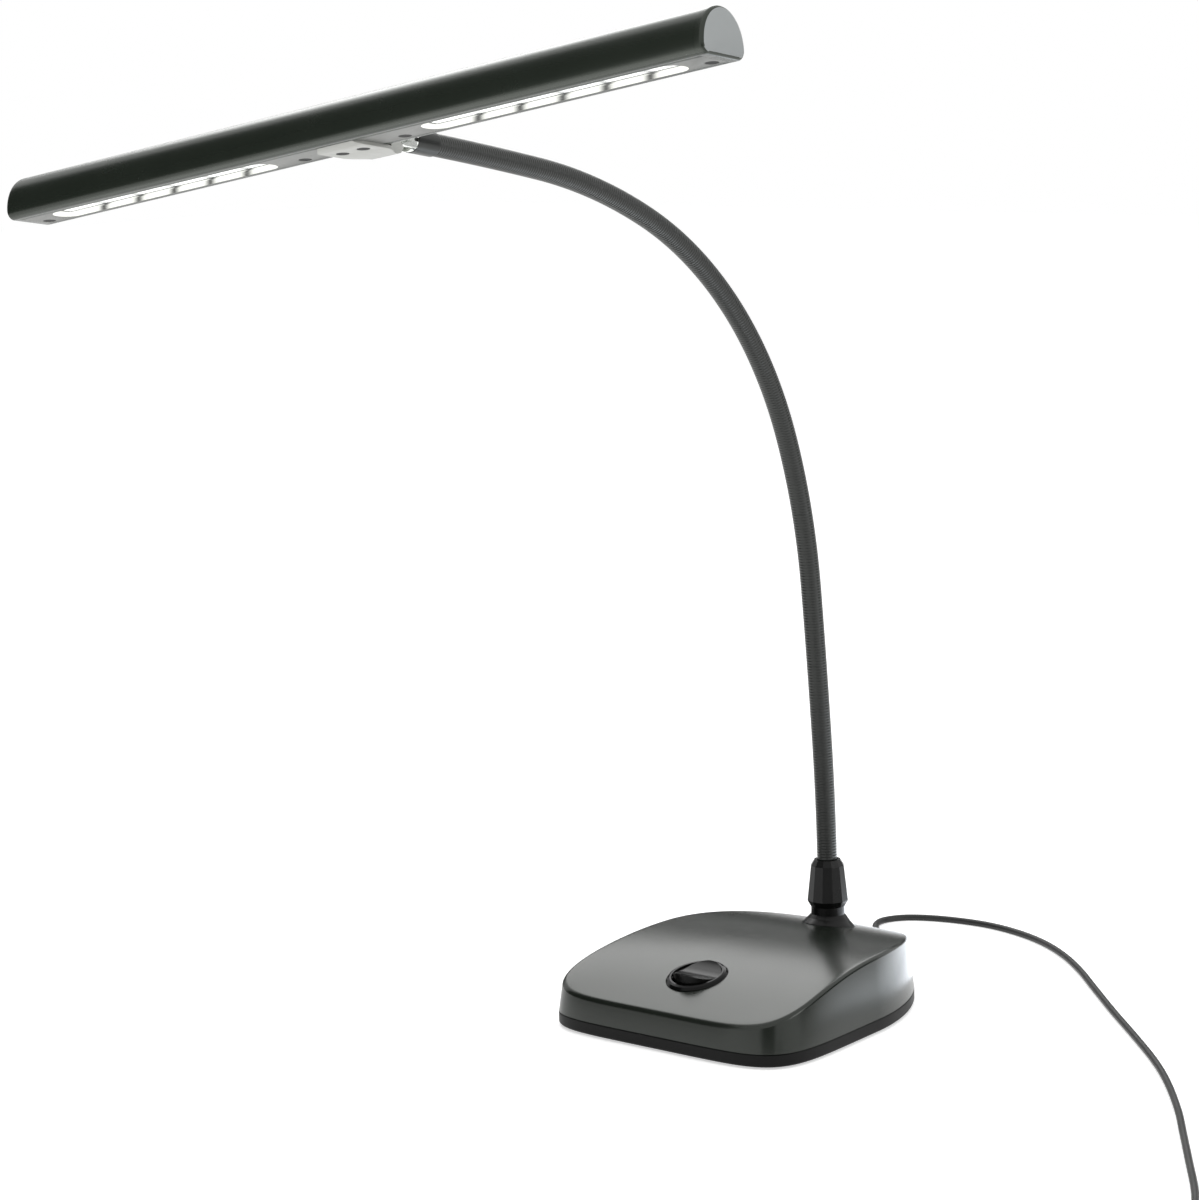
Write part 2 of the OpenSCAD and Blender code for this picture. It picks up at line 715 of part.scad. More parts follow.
module end_cap() {
    round_t = 1.6;
    plug_l = 10;
    at_head() difference() {
        union() {
            translate([housing_l / 2, 0, 0]) hull() {
                rotate([90, 0, 90]) linear_extrude(cap_t - round_t) polygon(section(0));
                translate([cap_t - 0.1, 0, 0]) rotate([90, 0, 90]) linear_extrude(0.1)
                    polygon(section(round_t));
            }
            translate([housing_l / 2 - plug_l, 0, 0]) rotate([90, 0, 90]) linear_extrude(plug_l + 0.5)
                hollow(seat_gap);
        }
        translate([end_screw_x, plate_screw_y, 0]) cylinder(h = 12, r = screw_r + running, $fn = 24);
    }
}
module end_cap_right() {
    color("#232624") end_cap();
}
module end_cap_left() {
    color("#232624") at_head() mirror([1, 0, 0]) from_head() end_cap();
}
// Undoes at_head, so that a finished piece can be mirrored across the head's middle
module from_head() {
    translate([0, bracket_reach, pivot_rise]) rotate([-head_tilt, 0, 0]) rotate([90, 0, 0])
        rotate([0, 0, -head_roll]) rotate([-tip_angle, 0, 0]) translate(-pivot) children();
}

module at_leds(side) {
    for (i = [0:led_count - 1])
        translate([side * (window_mid + (i - (led_count - 1) / 2) * led_pitch), 0, 0]) children();
}

module led_board(side) {
    color("#e9ebe6") at_head() translate([side * window_mid - window_l / 2, -window_w / 2, board_low])
        cube([window_l, window_w, led_board_t]);
}

module led_chips(side) {
    color("#fbfbef") at_head() at_leds(side)
        translate([-chip_w / 2, -chip_w / 2, board_low - chip_t]) cube([chip_w, chip_w, chip_t]);
}

module reflector(side) {
    rim = 0.4;
    skin_h = 0.2;
    cup_side = (led_pitch - cup_wall) / 2 - cup_r;
    color("#f2f4f2") at_head() difference() {
        translate([side * window_mid - window_l / 2, -window_w / 2 - rim, cover_top])
            cube([window_l, window_w + 2 * rim, cup_h]);
        at_leds(side) translate([0, 0, cover_top]) hull() {
            for (x = [-1, 1]) translate([x * cup_side, 0, -skin_h]) cylinder(h = skin_h, r = cup_r, $fn = 32);
            translate([0, 0, cup_h]) cylinder(h = skin_h, r = cup_floor_r, $fn = 32);
        }
    }
}

module window_cover(side) {
    color("#e6f0f2", 0.5) at_head() translate([side * window_mid, 0, plate_t])
        linear_extrude(cover_t)
            square([window_l + 2 * cover_lap, 2 * (ledge_in - seat_gap)], center = true);
}

module mount_block() {
    color("#a3a6a7") at_head() difference() {
        translate([-block_half_x, -block_half_y, plate_t])
            cube([2 * block_half_x, 2 * block_half_y, block_top - plate_t]);
        for (x = [-1, 1]) translate([x * mid_screw_x, plate_screw_y, 0])
            cylinder(h = 9, r = screw_r + running, $fn = 24);
        for (x = [-1, 1]) translate([x * bracket_screw_x, bracket_screw_y, 0])
            cylinder(h = 9, r = screw_r + running, $fn = 24);
    }
}

module head_wires() {
    wire_r = 0.6;
    wire_in = 4;
    wire_z = led_board_top + 3.4;
    end_x = window_start + wire_in;
    color("#b8322c") at_head() for (y = [-2.5, 2.5]) {
        translate([-end_x, y, wire_z]) rotate([0, 90, 0]) cylinder(h = 2 * end_x, r = wire_r, $fn = 16);
        for (x = [-1, 1]) translate([x * end_x, y, led_board_top])
            cylinder(h = wire_z - led_board_top + wire_r, r = wire_r + 0.1, $fn = 16);
    }
}

// ---------------------------------------------------------------- bracket between head and swivel
bracket_root_w = 26;
bracket_low = 1.6;
bracket_front = -8;
wall_clear = head_w / 2 + 0.5;
shoulder_r = tip_r + 1.1;

module neck_bracket() {
    side = [[bracket_front, 0], [bracket_front + 1, -bracket_low / 2], [bracket_front + 3.5, -bracket_low],
            [bracket_reach - 8.6, -bracket_low], [bracket_reach - 4.6, pivot_rise - tip_r - 4],
            [bracket_reach - 2.4, pivot_rise - tip_r - 1.8], [bracket_reach, pivot_rise - tip_r],
            [bracket_reach, pivot_rise + tip_r], [bracket_reach - 6, pivot_rise + tip_r],
            [wall_clear + 2.5, pivot_rise - 0.5], [wall_clear, pivot_rise - 6], [wall_clear, 0]];
    plan_half = [[0, bracket_front], [bracket_root_w / 2 - 3, bracket_front],
                 [bracket_root_w / 2, bracket_front + 3], [bracket_root_w / 2, wall_clear - 3],
                 [bracket_root_w / 2 - 1.5, wall_clear + 1], [tip_w / 2 + 5, wall_clear + 6],
                 [tip_w / 2 + 3.5, bracket_reach - 6], [tip_w / 2 + 1.4, bracket_reach], [0, bracket_reach]];
    color("#a9adac") at_head() difference() {
        union() {
            intersection() {
                along_head(bracket_root_w + 2) polygon(side);
                translate([0, 0, -bracket_low - past]) linear_extrude(pivot_rise + 12)
                    union() {
                        polygon(plan_half);
                        mirror([1, 0]) polygon(plan_half);
                    }
            }
            translate([0, bracket_reach, pivot_rise]) rotate([0, 90, 0])
                cylinder(h = tip_w, r = tip_r, center = true, $fn = 64);
        }
        for (x = [-1, 1]) {
            translate([x * (tip_w / 2 + 5), bracket_reach, pivot_rise]) rotate([0, 90, 0])
                cylinder(h = 10, r = shoulder_r, center = true, $fn = 64);
            translate([x * bracket_screw_x, bracket_screw_y, -bracket_low - past])
                cylinder(h = 9, r = screw_r + running, $fn = 24);
            translate([x * bracket_screw_x, bracket_screw_y, -bracket_low - past])
                cylinder(h = past + screw_head_h, r = screw_head_r + seat_gap, $fn = 32);
        }
        translate([0, bracket_reach, pivot_rise]) rotate([0, 90, 0])
            cylinder(h = 20, r = pin_r + running, center = true, $fn = 32);
    }
}

module bracket_screws() {
    color("#5c5f5f") at_head() for (x = [-1, 1])
        translate([x * bracket_screw_x, bracket_screw_y, -bracket_low]) {
            cylinder(h = screw_head_h, r = screw_head_r, $fn = 32);
            translate([0, 0, screw_head_h - 0.1]) cylinder(h = 9.5, r = screw_r, $fn = 24);
        }
}

// ---------------------------------------------------------------- cord
cord_r = cord_d / 2;
cord_sides = 8;
cord_steps = 3;
grommet_out = 8;
cord_exit = [0, grommet_y + grommet_out, grommet_z];
function spline(a, b, c, d, t) =
    0.5 * (2 * b + (c - a) * t + (2 * a - 5 * b + 4 * c - d) * t * t + (3 * b - a - 3 * c + d) * t * t * t);
function unit(v) = v / norm(v);
function before(path) = 2 * path[0] - path[1];
function after(path) = 2 * path[len(path) - 1] - path[len(path) - 2];
function above_table(p) = [p.x, p.y, max(p.z, cord_r)];
function smooth(path, steps) =
    let (n = len(path), q = concat([before(path)], path, [after(path)]))
    concat([for (i = [0:n - 2], j = [0:steps - 1])
                above_table(spline(q[i], q[i + 1], q[i + 2], q[i + 3], j / steps))],
           [path[n - 1]]);
function heading(path, i) =
    unit(path[min(i + 1, len(path) - 1)] - path[max(i - 1, 0)]);

// A closed round tube along a path, with given first and last headings
module tube(path, r, sides, first_way, last_way) {
    n = len(path);
    rings = [for (i = [0:n - 1])
        let (w = i == 0 ? first_way : i == n - 1 ? last_way : heading(path, i),
             side = unit(cross(w, [0, 0, 1])), up = cross(side, w))
        [for (k = [0:sides - 1])
            let (t = (k + 0.5) * 360 / sides)
            path[i] + r / cos(180 / sides) * (cos(t) * side + sin(t) * up)]];
    points = concat([for (g = rings) each g], [path[0], path[n - 1]]);
    faces = concat(tube_faces(sides, n), cap_faces(sides, 0, n * sides, false),
                   cap_faces(sides, (n - 1) * sides, n * sides + 1, true));
    polyhedron(points, [for (f = faces) [f[0], f[2], f[1]]]);
}

// The stored coil: piled loops that spiral in and out again in four layers
coil_layers = 4;
coil_rings = 24;
coil_sides = 6;
coil_x = 385;
coil_y = -262;
coil_start = 210;
turn_gap = 0.6;
coil_pitch = cord_d + turn_gap;
coil_mid_r = 5.5 * cord_d;
layer_turns = coil_turns / coil_layers;
layer_h = cord_d + 0.5;
tie_t = 0.7;
coil_low = cord_r + tie_t + loose;

// Share of the way in from the outer radius: 0 outside, 1 inside
function coil_in(t) = let (u = t / layer_turns, k = floor(u), f = u - k) k % 2 == 0 ? f : 1 - f;
// Layers climbed: half a turn around each reversal of the spiral
function coil_climb(t) =
    let (u = t / layer_turns, k = min(coil_layers - 1, round(u)), d = (t - k * layer_turns) / 0.5)
    k < 1 ? 0 : k - 0.5 + max(-0.5, min(0.5, d));
function coil_point(t) =
    let (r = coil_mid_r + coil_pitch * layer_turns * (0.5 - coil_in(t)), a = coil_start + 360 * t)
    [coil_x + r * cos(a), coil_y + r * sin(a), coil_low + layer_h * coil_climb(t)];
coil_path = [for (i = [0:coil_turns * coil_rings]) coil_point(i / coil_rings)];
coil_gap = min([for (i = [0:len(coil_path) - 1], j = [i + 12:1:len(coil_path) - 1])
    norm(coil_path[i] - coil_path[j])]) - cord_d;
echo(coil_gap = coil_gap);

// Points of the free stretch, from the grommet to the coil
cord_points = [
    cord_exit, [-2, 52, 11.8], [-8, 63, 10.4], [-17, 77, 7.6], [-30, 91, 4], [-45, 103, 2], [-56, 115, 1.7],
    [-59, 127, 1.7], [-52, 139, 1.7], [-35, 147, 1.7], [-11, 150, 1.7], [12, 146, 1.7],
    [36, 136, 1.7], [60, 120, 1.7], [84, 99, 1.7], [108, 75, 1.7], [140, 43, 1.7],
    [172, 12, 1.7], [202, -18, 1.7], [226, -45, 1.7], [252, -78, 1.7], [272, -106, 1.7],
    [294, -137, 1.7], [320, -174, 1.7], [336, -202, 1.7], [352, -236, 2.2], coil_point(0)];

coil_first_way = unit(coil_path[1] - coil_path[0]);
coil_last_way = unit(coil_path[len(coil_path) - 1] - coil_path[len(coil_path) - 2]);
coil_end = coil_path[len(coil_path) - 1];
adapter_way = 30;
relief_l = 12;
tail_l = 32;
adapter_mid = adapter_h / 2;
tail_way = [cos(adapter_way), sin(adapter_way), 0];
tail_end = [coil_end.x, coil_end.y, 0] + tail_l * tail_way + [0, 0, adapter_mid];
tail_points = [coil_end, coil_end + 5 * coil_last_way,
               [coil_end.x, coil_end.y, 11.5] + 14 * tail_way,
               [coil_end.x, coil_end.y, 11.8] + 22 * tail_way, tail_end - 4 * tail_way, tail_end];

module cord() {
    color("#1b1c1b") tube(smooth(cord_points, cord_steps), cord_r, cord_sides, [0, 1, 0], coil_first_way);
}
module cord_coil() {
    color("#1b1c1b") tube(coil_path, cord_r, coil_sides, coil_first_way, coil_last_way);
}
module cord_tail() {
    color("#1b1c1b") tube(smooth(tail_points, 2), cord_r, cord_sides, coil_last_way, tail_way);
}

module coil_tie() {
    spread = coil_pitch * layer_turns / 2 + cord_r + loose;
    tall = coil_low + layer_h * (coil_layers - 1) + cord_r + loose;
    width = 4;
    color("#0e0e0e") translate([coil_x, coil_y, 0]) rotate([0, 0, coil_start + 240])
        translate([coil_mid_r, width / 2, 0]) rotate([90, 0, 0]) linear_extrude(width) difference() {
            translate([-spread - tie_t, 0]) square([2 * (spread + tie_t), tall + tie_t]);
            translate([-spread, tie_t]) square([2 * spread, tall - tie_t]);
        }
}

module cord_grommet() {
    lip_t = 1.6;
    groove_in = shell_t + 1;
    groove_out = 0.6;
    color("#111211") translate([0, grommet_y, grommet_z]) rotate([-90, 0, 0]) {
        translate([0, 0, -groove_in - lip_t])
            cylinder(h = lip_t, r = grommet_r + grommet_lip, $fn = 48);
        translate([0, 0, -groove_in]) cylinder(h = groove_in + groove_out, r = grommet_r, $fn = 48);
        translate([0, 0, groove_out]) cylinder(h = lip_t, r = grommet_r + grommet_lip, $fn = 48);
        translate([0, 0, groove_out + lip_t])
            cylinder(h = grommet_out - groove_out - lip_t, r1 = grommet_r, r2 = cord_r + 0.7, $fn = 48);
    }
}

module at_adapter() {
    translate(tail_end) rotate([0, 0, adapter_way]) children();
}
module adapter_relief() {
    color("#111211") at_adapter() rotate([0, 90, 0])
        cylinder(h = relief_l, r1 = cord_r + 0.5, r2 = 4, $fn = 48);
}
module adapter_body() {
    chamfer = 2.5;
    half = adapter_w / 2;
    tall = adapter_h / 2;
    color("#1a1b1a") at_adapter() translate([relief_l, 0, 0]) rotate([90, 0, 90])
        linear_extrude(adapter_l)
            polygon([[-half + chamfer, -tall], [half - chamfer, -tall], [half, -tall + chamfer],
                     [half, tall - chamfer], [half - chamfer, tall], [-half + chamfer, tall],
                     [-half, tall - chamfer], [-half, -tall + chamfer]]);
}
module adapter_pins() {
    prong_space = 18.6;
    prong_l = 17;
    prong_tip = 2;
    prong_r = 2;
    color("#c9cbcc") at_adapter() for (y = [-1, 1])
        translate([relief_l + adapter_l, y * prong_space / 2, 0]) rotate([0, 90, 0]) {
            cylinder(h = prong_l, r = prong_r, $fn = 32);
            translate([0, 0, prong_l]) cylinder(h = prong_tip, r1 = prong_r, r2 = prong_r - 0.8, $fn = 32);
        }
}

// ---------------------------------------------------------------- the parts
base_shell();
base_tray();
base_pad();
ballast_plate();
tray_screws();
ballast_screws();
board_posts();
driver_board();
driver_parts();
switch_bezel();
rocker();
rocker_pin();
switch_terminals();
neck_flange();
gland_nut();
lock_nut();
cord_grommet();
for (k = [1:link_count]) neck_core(k - 1);
for (k = [1:link_count]) neck_winding(k - 1);
neck_tip();
swivel_yoke();
pivot_pin();
pivot_nut();
neck_bracket();
bracket_screws();
mount_block();
head_housing();
head_plate();
plate_screws();
end_cap_left();
end_cap_right();
led_board(-1);  // led_board_left
led_board(1);  // led_board_right
led_chips(-1);  // led_chips_left
led_chips(1);  // led_chips_right
reflector(-1);  // reflector_left
reflector(1);  // reflector_right
window_cover(-1);  // window_left
window_cover(1);  // window_right
head_wires();
cord();
cord_coil();
cord_tail();
coil_tie();
adapter_relief();
adapter_body();
adapter_pins();
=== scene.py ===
# %% [markdown]
# # A piano lamp, dressed in Blender
# The frame that this script loads is an engineer's model of the lamp: every piece at its
# real size and place, but with plain facets and no finish. This lesson keeps the frame as
# it is and builds the looks around it: a camera, a studio, a lead, a ribbed neck, soft
# edges on the mouldings and a material for each piece. The scene is in metres. The lamp's
# own sizes are written in millimetres, and MM turns them into metres.

# %% Load the frame
import json
import math
import bmesh
import bpy
from mathutils import Matrix, Vector


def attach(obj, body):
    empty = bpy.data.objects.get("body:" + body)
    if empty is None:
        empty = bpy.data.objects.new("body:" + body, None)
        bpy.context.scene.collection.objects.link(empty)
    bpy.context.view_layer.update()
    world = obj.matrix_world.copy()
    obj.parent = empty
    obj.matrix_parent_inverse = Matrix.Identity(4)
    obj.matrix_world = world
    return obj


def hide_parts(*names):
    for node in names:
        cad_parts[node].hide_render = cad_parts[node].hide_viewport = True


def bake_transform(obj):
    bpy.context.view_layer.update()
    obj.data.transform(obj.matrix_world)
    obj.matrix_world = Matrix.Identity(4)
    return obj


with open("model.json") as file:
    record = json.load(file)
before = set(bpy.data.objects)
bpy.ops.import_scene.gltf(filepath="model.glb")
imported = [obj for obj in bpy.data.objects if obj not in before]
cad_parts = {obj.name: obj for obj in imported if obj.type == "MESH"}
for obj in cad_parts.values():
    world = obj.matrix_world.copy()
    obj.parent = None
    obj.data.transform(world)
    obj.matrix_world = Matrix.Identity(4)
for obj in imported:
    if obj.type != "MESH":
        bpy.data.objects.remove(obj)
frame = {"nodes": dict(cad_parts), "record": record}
MM, WELD = 0.001, 1e-6
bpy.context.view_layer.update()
bodies = frame["record"]["behaviour"]["bodies"]
body_of_node = {node: body for body, nodes in bodies.items() for node in nodes}

# %% [markdown]
# ## The camera
# The lamp was photographed with a long lens from the front right, a little above the
# table. Building the camera's matrix from three angles keeps it readable: azimuth turns
# it round the lamp, elevation lifts it, and roll leans it. A long lens (111 mm) gives the
# nearly parallel edges that product pictures have.

# %% The camera
AZIMUTH, ELEVATION, ROLL = (math.radians(a) for a in (40.89, 8.91, -1.31))
CAMERA_AT = Vector((1.0964, -1.4348, 0.4826))
LENS_MM = 111.2


def camera_axes(azimuth, elevation, roll):
    """Right, up and backward directions of a camera that looks at the lamp."""
    level = Vector((math.cos(azimuth), math.sin(azimuth), 0))
    level_back = Vector((math.sin(azimuth), -math.cos(azimuth), 0))
    back = level_back * math.cos(elevation) + Vector((0, 0, math.sin(elevation)))
    upright = back.cross(level)
    right = level * math.cos(roll) + upright * math.sin(roll)
    return right, back.cross(right), back


camera_data = bpy.data.cameras.new("lamp_camera")
camera_data.lens = LENS_MM
camera_data.clip_start, camera_data.clip_end = 0.05, 50
camera = bpy.data.objects.new("lamp_camera", camera_data)
bpy.context.scene.collection.objects.link(camera)
turn = Matrix(camera_axes(AZIMUTH, ELEVATION, ROLL)).transposed()
camera.matrix_world = Matrix.Translation(CAMERA_AT) @ turn.to_4x4()
bpy.context.scene.camera = camera
print("camera looks along", tuple(round(x, 3) for x in -turn.col[2]))

# %% [markdown]
# ## Small tools
# Most pieces below are lofts: rings of points joined into a skin. One function makes them
# all, so every skin is closed and has its faces pointing outwards. Node trees are built by
# code too, and a few helpers keep that short.

# %% Small tools
def new_object(name, data):
    """Adds an object to the scene."""
    thing = bpy.data.objects.new(name, data)
    bpy.context.scene.collection.objects.link(thing)
    return thing


def add_piece(name, mesh, body, *stands_for):
    """Puts a mesh in the scene, on a body, in place of the CAD nodes that it stands for."""
    piece = new_object(name, mesh)
    if body:
        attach(piece, body)
    if stands_for:
        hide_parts(*stands_for)
    return piece


def mesh_from(name, points, faces, smooth_angle=35):
    """A mesh in metres from points in millimetres, smooth up to an angle between faces."""
    mesh = bpy.data.meshes.new(name)
    mesh.from_pydata([tuple(c * MM for c in p) for p in points], [], faces)
    tidy = bmesh.new()
    tidy.from_mesh(mesh)
    bmesh.ops.remove_doubles(tidy, verts=tidy.verts, dist=WELD)
    bmesh.ops.recalc_face_normals(tidy, faces=tidy.faces)
    tidy.to_mesh(mesh)
    tidy.free()
    shade(mesh, smooth_angle)
    return mesh


def shade(mesh, smooth_angle):
    """Smooth shading that breaks where two faces meet at more than the angle."""
    mesh.shade_smooth()
    mesh.set_sharp_from_angle(angle=math.radians(smooth_angle))


def loft(rings):
    """Points and faces that join rings of equal length, with both ends filled."""
    count = len(rings[0])
    points = [p for ring in rings for p in ring]
    faces = []
    for low in range(0, len(points) - count, count):
        for i in range(count):
            j = (i + 1) % count
            faces.append((low + i, low + j, low + count + j, low + count + i))
    faces.append(tuple(reversed(range(count))))
    faces.append(tuple(range(len(points) - count, len(points))))
    return points, faces


def in_frame(matrix, points):
    return [tuple(matrix @ Vector(p)) for p in points]


def quarter_turn(steps, whole=False):
    """Even angles from 0 towards a right angle; whole adds the right angle itself."""
    return [math.pi / 2 * k / steps for k in range(steps + whole)]


def evaluated_mesh(piece, name):
    """The mesh that a piece's modifiers make, as plain data."""
    graph = bpy.context.evaluated_depsgraph_get()
    mesh = bpy.data.meshes.new_from_object(piece.evaluated_get(graph), depsgraph=graph)
    mesh.name = name
    return mesh


def socket_id(tree, name):
    """The identifier of a node tree's input, which is how a modifier's input is set."""
    sockets = (item for item in tree.interface.items_tree if item.in_out == "INPUT")
    return next(socket.identifier for socket in sockets if socket.name == name)


def chain(tree):
    """Returns a function that adds a Math node to a tree and gives back its output."""
    def maths(operation, a, b=None):
        node = tree.nodes.new("ShaderNodeMath")
        node.operation = operation
        for socket, value in zip(node.inputs, (a, b)):
            if isinstance(value, (int, float)):
                socket.default_value = value
            elif value is not None:
                tree.links.new(value, socket)
        return node.outputs[0]

    return maths


def new_material(name):
    """A material with nodes, and its main shader."""
    material = bpy.data.materials.new(name)
    material.use_nodes = True
    return material, shader_of(material)


def shader_of(material):
    return material.node_tree.nodes["Principled BSDF"]


print("small tools are ready")

# %% [markdown]
# ## Materials
# Nearly everything on this lamp is black or dark grey, so the finishes differ by their
# gloss and grain, not by hue. Two shader groups carry what they share. "moulded grain"
# is the fine sand texture of a mould, with cloudy patches where fingers and light have
# worked on it. "drawn lines" is the streaky surface of metal that was drawn through a
# die. Each finish places a group and feeds its masks to the colour, roughness and bump.

# %% Shader groups
def new_group(name, inputs, outputs):
    """An empty shader group with named number sockets, and its two end nodes."""
    group = bpy.data.node_groups.new(name, "ShaderNodeTree")
    for socket, value in inputs.items():
        entry = group.interface.new_socket(socket, in_out="INPUT", socket_type="NodeSocketFloat")
        entry.default_value = value
    for socket in outputs:
        group.interface.new_socket(socket, in_out="OUTPUT", socket_type="NodeSocketFloat")
    return group, group.nodes.new("NodeGroupInput"), group.nodes.new("NodeGroupOutput")


def noise_in(group, coordinates, scale_socket, detail, roughness=0.5):
    """The output of a new noise texture inside a group."""
    noise = group.nodes.new("ShaderNodeTexNoise")
    noise.inputs["Detail"].default_value = detail
    noise.inputs["Roughness"].default_value = roughness
    group.links.new(coordinates, noise.inputs["Vector"])
    group.links.new(scale_socket, noise.inputs["Scale"])
    return noise.outputs["Fac"]


def make_moulded_grain():
    scales = {"Grain Scale": 2500, "Patch Scale": 22}
    group, ins, outs = new_group("moulded grain", scales, ["Grain", "Patches"])
    place = group.nodes.new("ShaderNodeTexCoord").outputs["Object"]
    group.links.new(noise_in(group, place, ins.outputs["Grain Scale"], 2), outs.inputs["Grain"])
    patches = noise_in(group, place, ins.outputs["Patch Scale"], 5, 0.6)
    group.links.new(patches, outs.inputs["Patches"])
    return group


def make_drawn_lines():
    scales = {"Line Scale": 900, "Patch Scale": 30, "Stretch": 0.02}
    group, ins, outs = new_group("drawn lines", scales, ["Grain", "Patches"])
    place = group.nodes.new("ShaderNodeTexCoord").outputs["Object"]
    squeeze = group.nodes.new("ShaderNodeCombineXYZ")
    squeeze.inputs["Y"].default_value = squeeze.inputs["Z"].default_value = 1
    group.links.new(ins.outputs["Stretch"], squeeze.inputs["X"])
    scaled = group.nodes.new("ShaderNodeVectorMath")
    scaled.operation = "MULTIPLY"
    group.links.new(place, scaled.inputs[0])
    group.links.new(squeeze.outputs[0], scaled.inputs[1])
    lines = noise_in(group, scaled.outputs[0], ins.outputs["Line Scale"], 3)
    group.links.new(lines, outs.inputs["Grain"])
    group.links.new(noise_in(group, place, ins.outputs["Patch Scale"], 4), outs.inputs["Patches"])
    return group


moulded_grain, drawn_lines = make_moulded_grain(), make_drawn_lines()
print("shader groups:", moulded_grain.name, "and", drawn_lines.name)

# %% A finish from a group
MASK_LOW, MASK_HIGH = 0.3, 0.7
COAT_ROUGHNESS, RELIEF_DEPTH = 0.12, 0.1 * MM


def finish(name, dark, light, rough, bump=0.02, group=moulded_grain, scales=None,
           metallic=0.0, specular=0.5, coat=0.0):
    """A material whose colour and roughness drift between two values by a group's masks."""
    material, shader = new_material(name)
    nodes, links = material.node_tree.nodes, material.node_tree.links
    shader.inputs["Metallic"].default_value = metallic
    shader.inputs["Specular IOR Level"].default_value = specular
    shader.inputs["Coat Weight"].default_value = coat
    shader.inputs["Coat Roughness"].default_value = COAT_ROUGHNESS
    masks = nodes.new("ShaderNodeGroup")
    masks.node_tree = group
    for socket, value in (scales or {}).items():
        masks.inputs[socket].default_value = value
    colour = nodes.new("ShaderNodeMix")
    colour.data_type = "RGBA"
    colour.inputs["A"].default_value = (*dark, 1)
    colour.inputs["B"].default_value = (*light, 1)
    links.new(masks.outputs["Patches"], colour.inputs["Factor"])
    links.new(colour.outputs["Result"], shader.inputs["Base Color"])
    gloss = nodes.new("ShaderNodeMapRange")
    gloss.inputs["From Min"].default_value = MASK_LOW
    gloss.inputs["From Max"].default_value = MASK_HIGH
    gloss.inputs["To Min"].default_value, gloss.inputs["To Max"].default_value = rough
    links.new(masks.outputs["Patches"], gloss.inputs["Value"])
    links.new(gloss.outputs["Result"], shader.inputs["Roughness"])
    relief = nodes.new("ShaderNodeBump")
    relief.inputs["Strength"].default_value = bump
    relief.inputs["Distance"].default_value = RELIEF_DEPTH
    links.new(masks.outputs["Grain"], relief.inputs["Height"])
    links.new(relief.outputs["Normal"], shader.inputs["Normal"])
    return material


def grey(value):
    """A neutral colour with the faint green cast that the lamp's dark plastic has."""
    return (value * 0.97, value, value * 0.96)


def olive(value):
    """The grey green of the lamp's painted parts."""
    return (value * 0.78, value, value * 0.76)


# dark and light colour, range of roughness, bump, and what else differs
METAL = {"metallic": 1.0}
FINISHES = {
    "satin_base": (olive(0.011), olive(0.015), (0.22, 0.25), 0.03),
    "tray_black": (grey(0.005), grey(0.008), (0.42, 0.5), 0.1, {"specular": 0.14}),
    "pad_rubber": (grey(0.02), grey(0.03), (0.8, 0.9), 0.5),
    "switch_gloss": (grey(0.004), grey(0.006), (0.15, 0.22), 0.03, {"specular": 0.13}),
    "gland_satin": (grey(0.005), grey(0.007), (0.2, 0.27), 0.04, {"specular": 0.2}),
    "grommet_soft": (grey(0.012), grey(0.018), (0.5, 0.62), 0.3),
    "head_satin": (olive(0.021), olive(0.025), (0.24, 0.28), 0.03),
    # the caps' faces: a lighter grey that is a painted highlight of the light falling on them
    "cap_face_painted_highlight": ((0.33, 0.35, 0.35), (0.37, 0.39, 0.39), (0.36, 0.45), 0.1),
    "plate_grey": ((0.128, 0.131, 0.122), (0.152, 0.155, 0.145), (0.38, 0.48), 0.1),
    "bracket_grey": ((0.37, 0.375, 0.35), (0.42, 0.425, 0.4), (0.36, 0.46), 0.2),
    "screw_dark": (grey(0.008), grey(0.014), (0.4, 0.5), 0.1, {"specular": 0.06}),
    "screw_bright": (grey(0.5), grey(0.6), (0.25, 0.35), 0.1, METAL),
    "plain_steel": (grey(0.4), grey(0.5), (0.35, 0.5), 0.2, {"group": drawn_lines, **METAL}),
    "bright_chrome": (grey(0.72), grey(0.8), (0.08, 0.16), 0.04, METAL),
    "turned_brass": ((0.6, 0.4, 0.13), (0.7, 0.48, 0.18), (0.25, 0.4), 0.02, METAL),
    "neck_dark": (grey(0.014), grey(0.02), (0.3, 0.36), 0.06,
                  {"metallic": 0.15, "scales": {"Grain Scale": 3000, "Patch Scale": 40}}),
    "lead_black": (grey(0.01), grey(0.014), (0.42, 0.52), 0.2),
    "supply_black": (grey(0.014), grey(0.019), (0.45, 0.55), 0.5),
    "tie_strip": (grey(0.01), grey(0.014), (0.4, 0.5), 0.2),
    "board_green": ((0.01, 0.09, 0.03), (0.015, 0.12, 0.045), (0.3, 0.4), 0.02, {"coat": 0.3}),
    "board_white": (grey(0.78), grey(0.84), (0.3, 0.4), 0.02),
    "part_dark": (grey(0.03), grey(0.05), (0.4, 0.5), 0.02),
    "wire_red": ((0.36, 0.015, 0.012), (0.44, 0.02, 0.016), (0.35, 0.45), 0.02)}
SHEENS = {"satin_base": (0.97, 1, 0.96), "head_satin": (0.95, 1, 0.92),
          "neck_dark": (0.97, 1, 0.97)}
paint = {}
for name, (dark, light, rough, bump, *other) in FINISHES.items():
    paint[name] = finish(name, dark, light, rough, bump, **(other[0] if other else {}))
for name, sheen in SHEENS.items():
    shader_of(paint[name]).inputs["Specular Tint"].default_value = (*sheen, 1)
print("finishes so far:", len(paint))

# %% [markdown]
# ## Finishes that glow
# The lamp is lit in the photograph: the windows burn out to white. A strength of 1 is
# already white in the picture, so the chips stay modest. The cups and the walls of the
# windows are no lamps: their glow of about 1 is painted light from the chips. A later
# cell makes that rise and fall along the cups, with painted shade between them.

# %% Finishes that glow
OWN_DARK, COVER_ALPHA = 0.9, 0.15


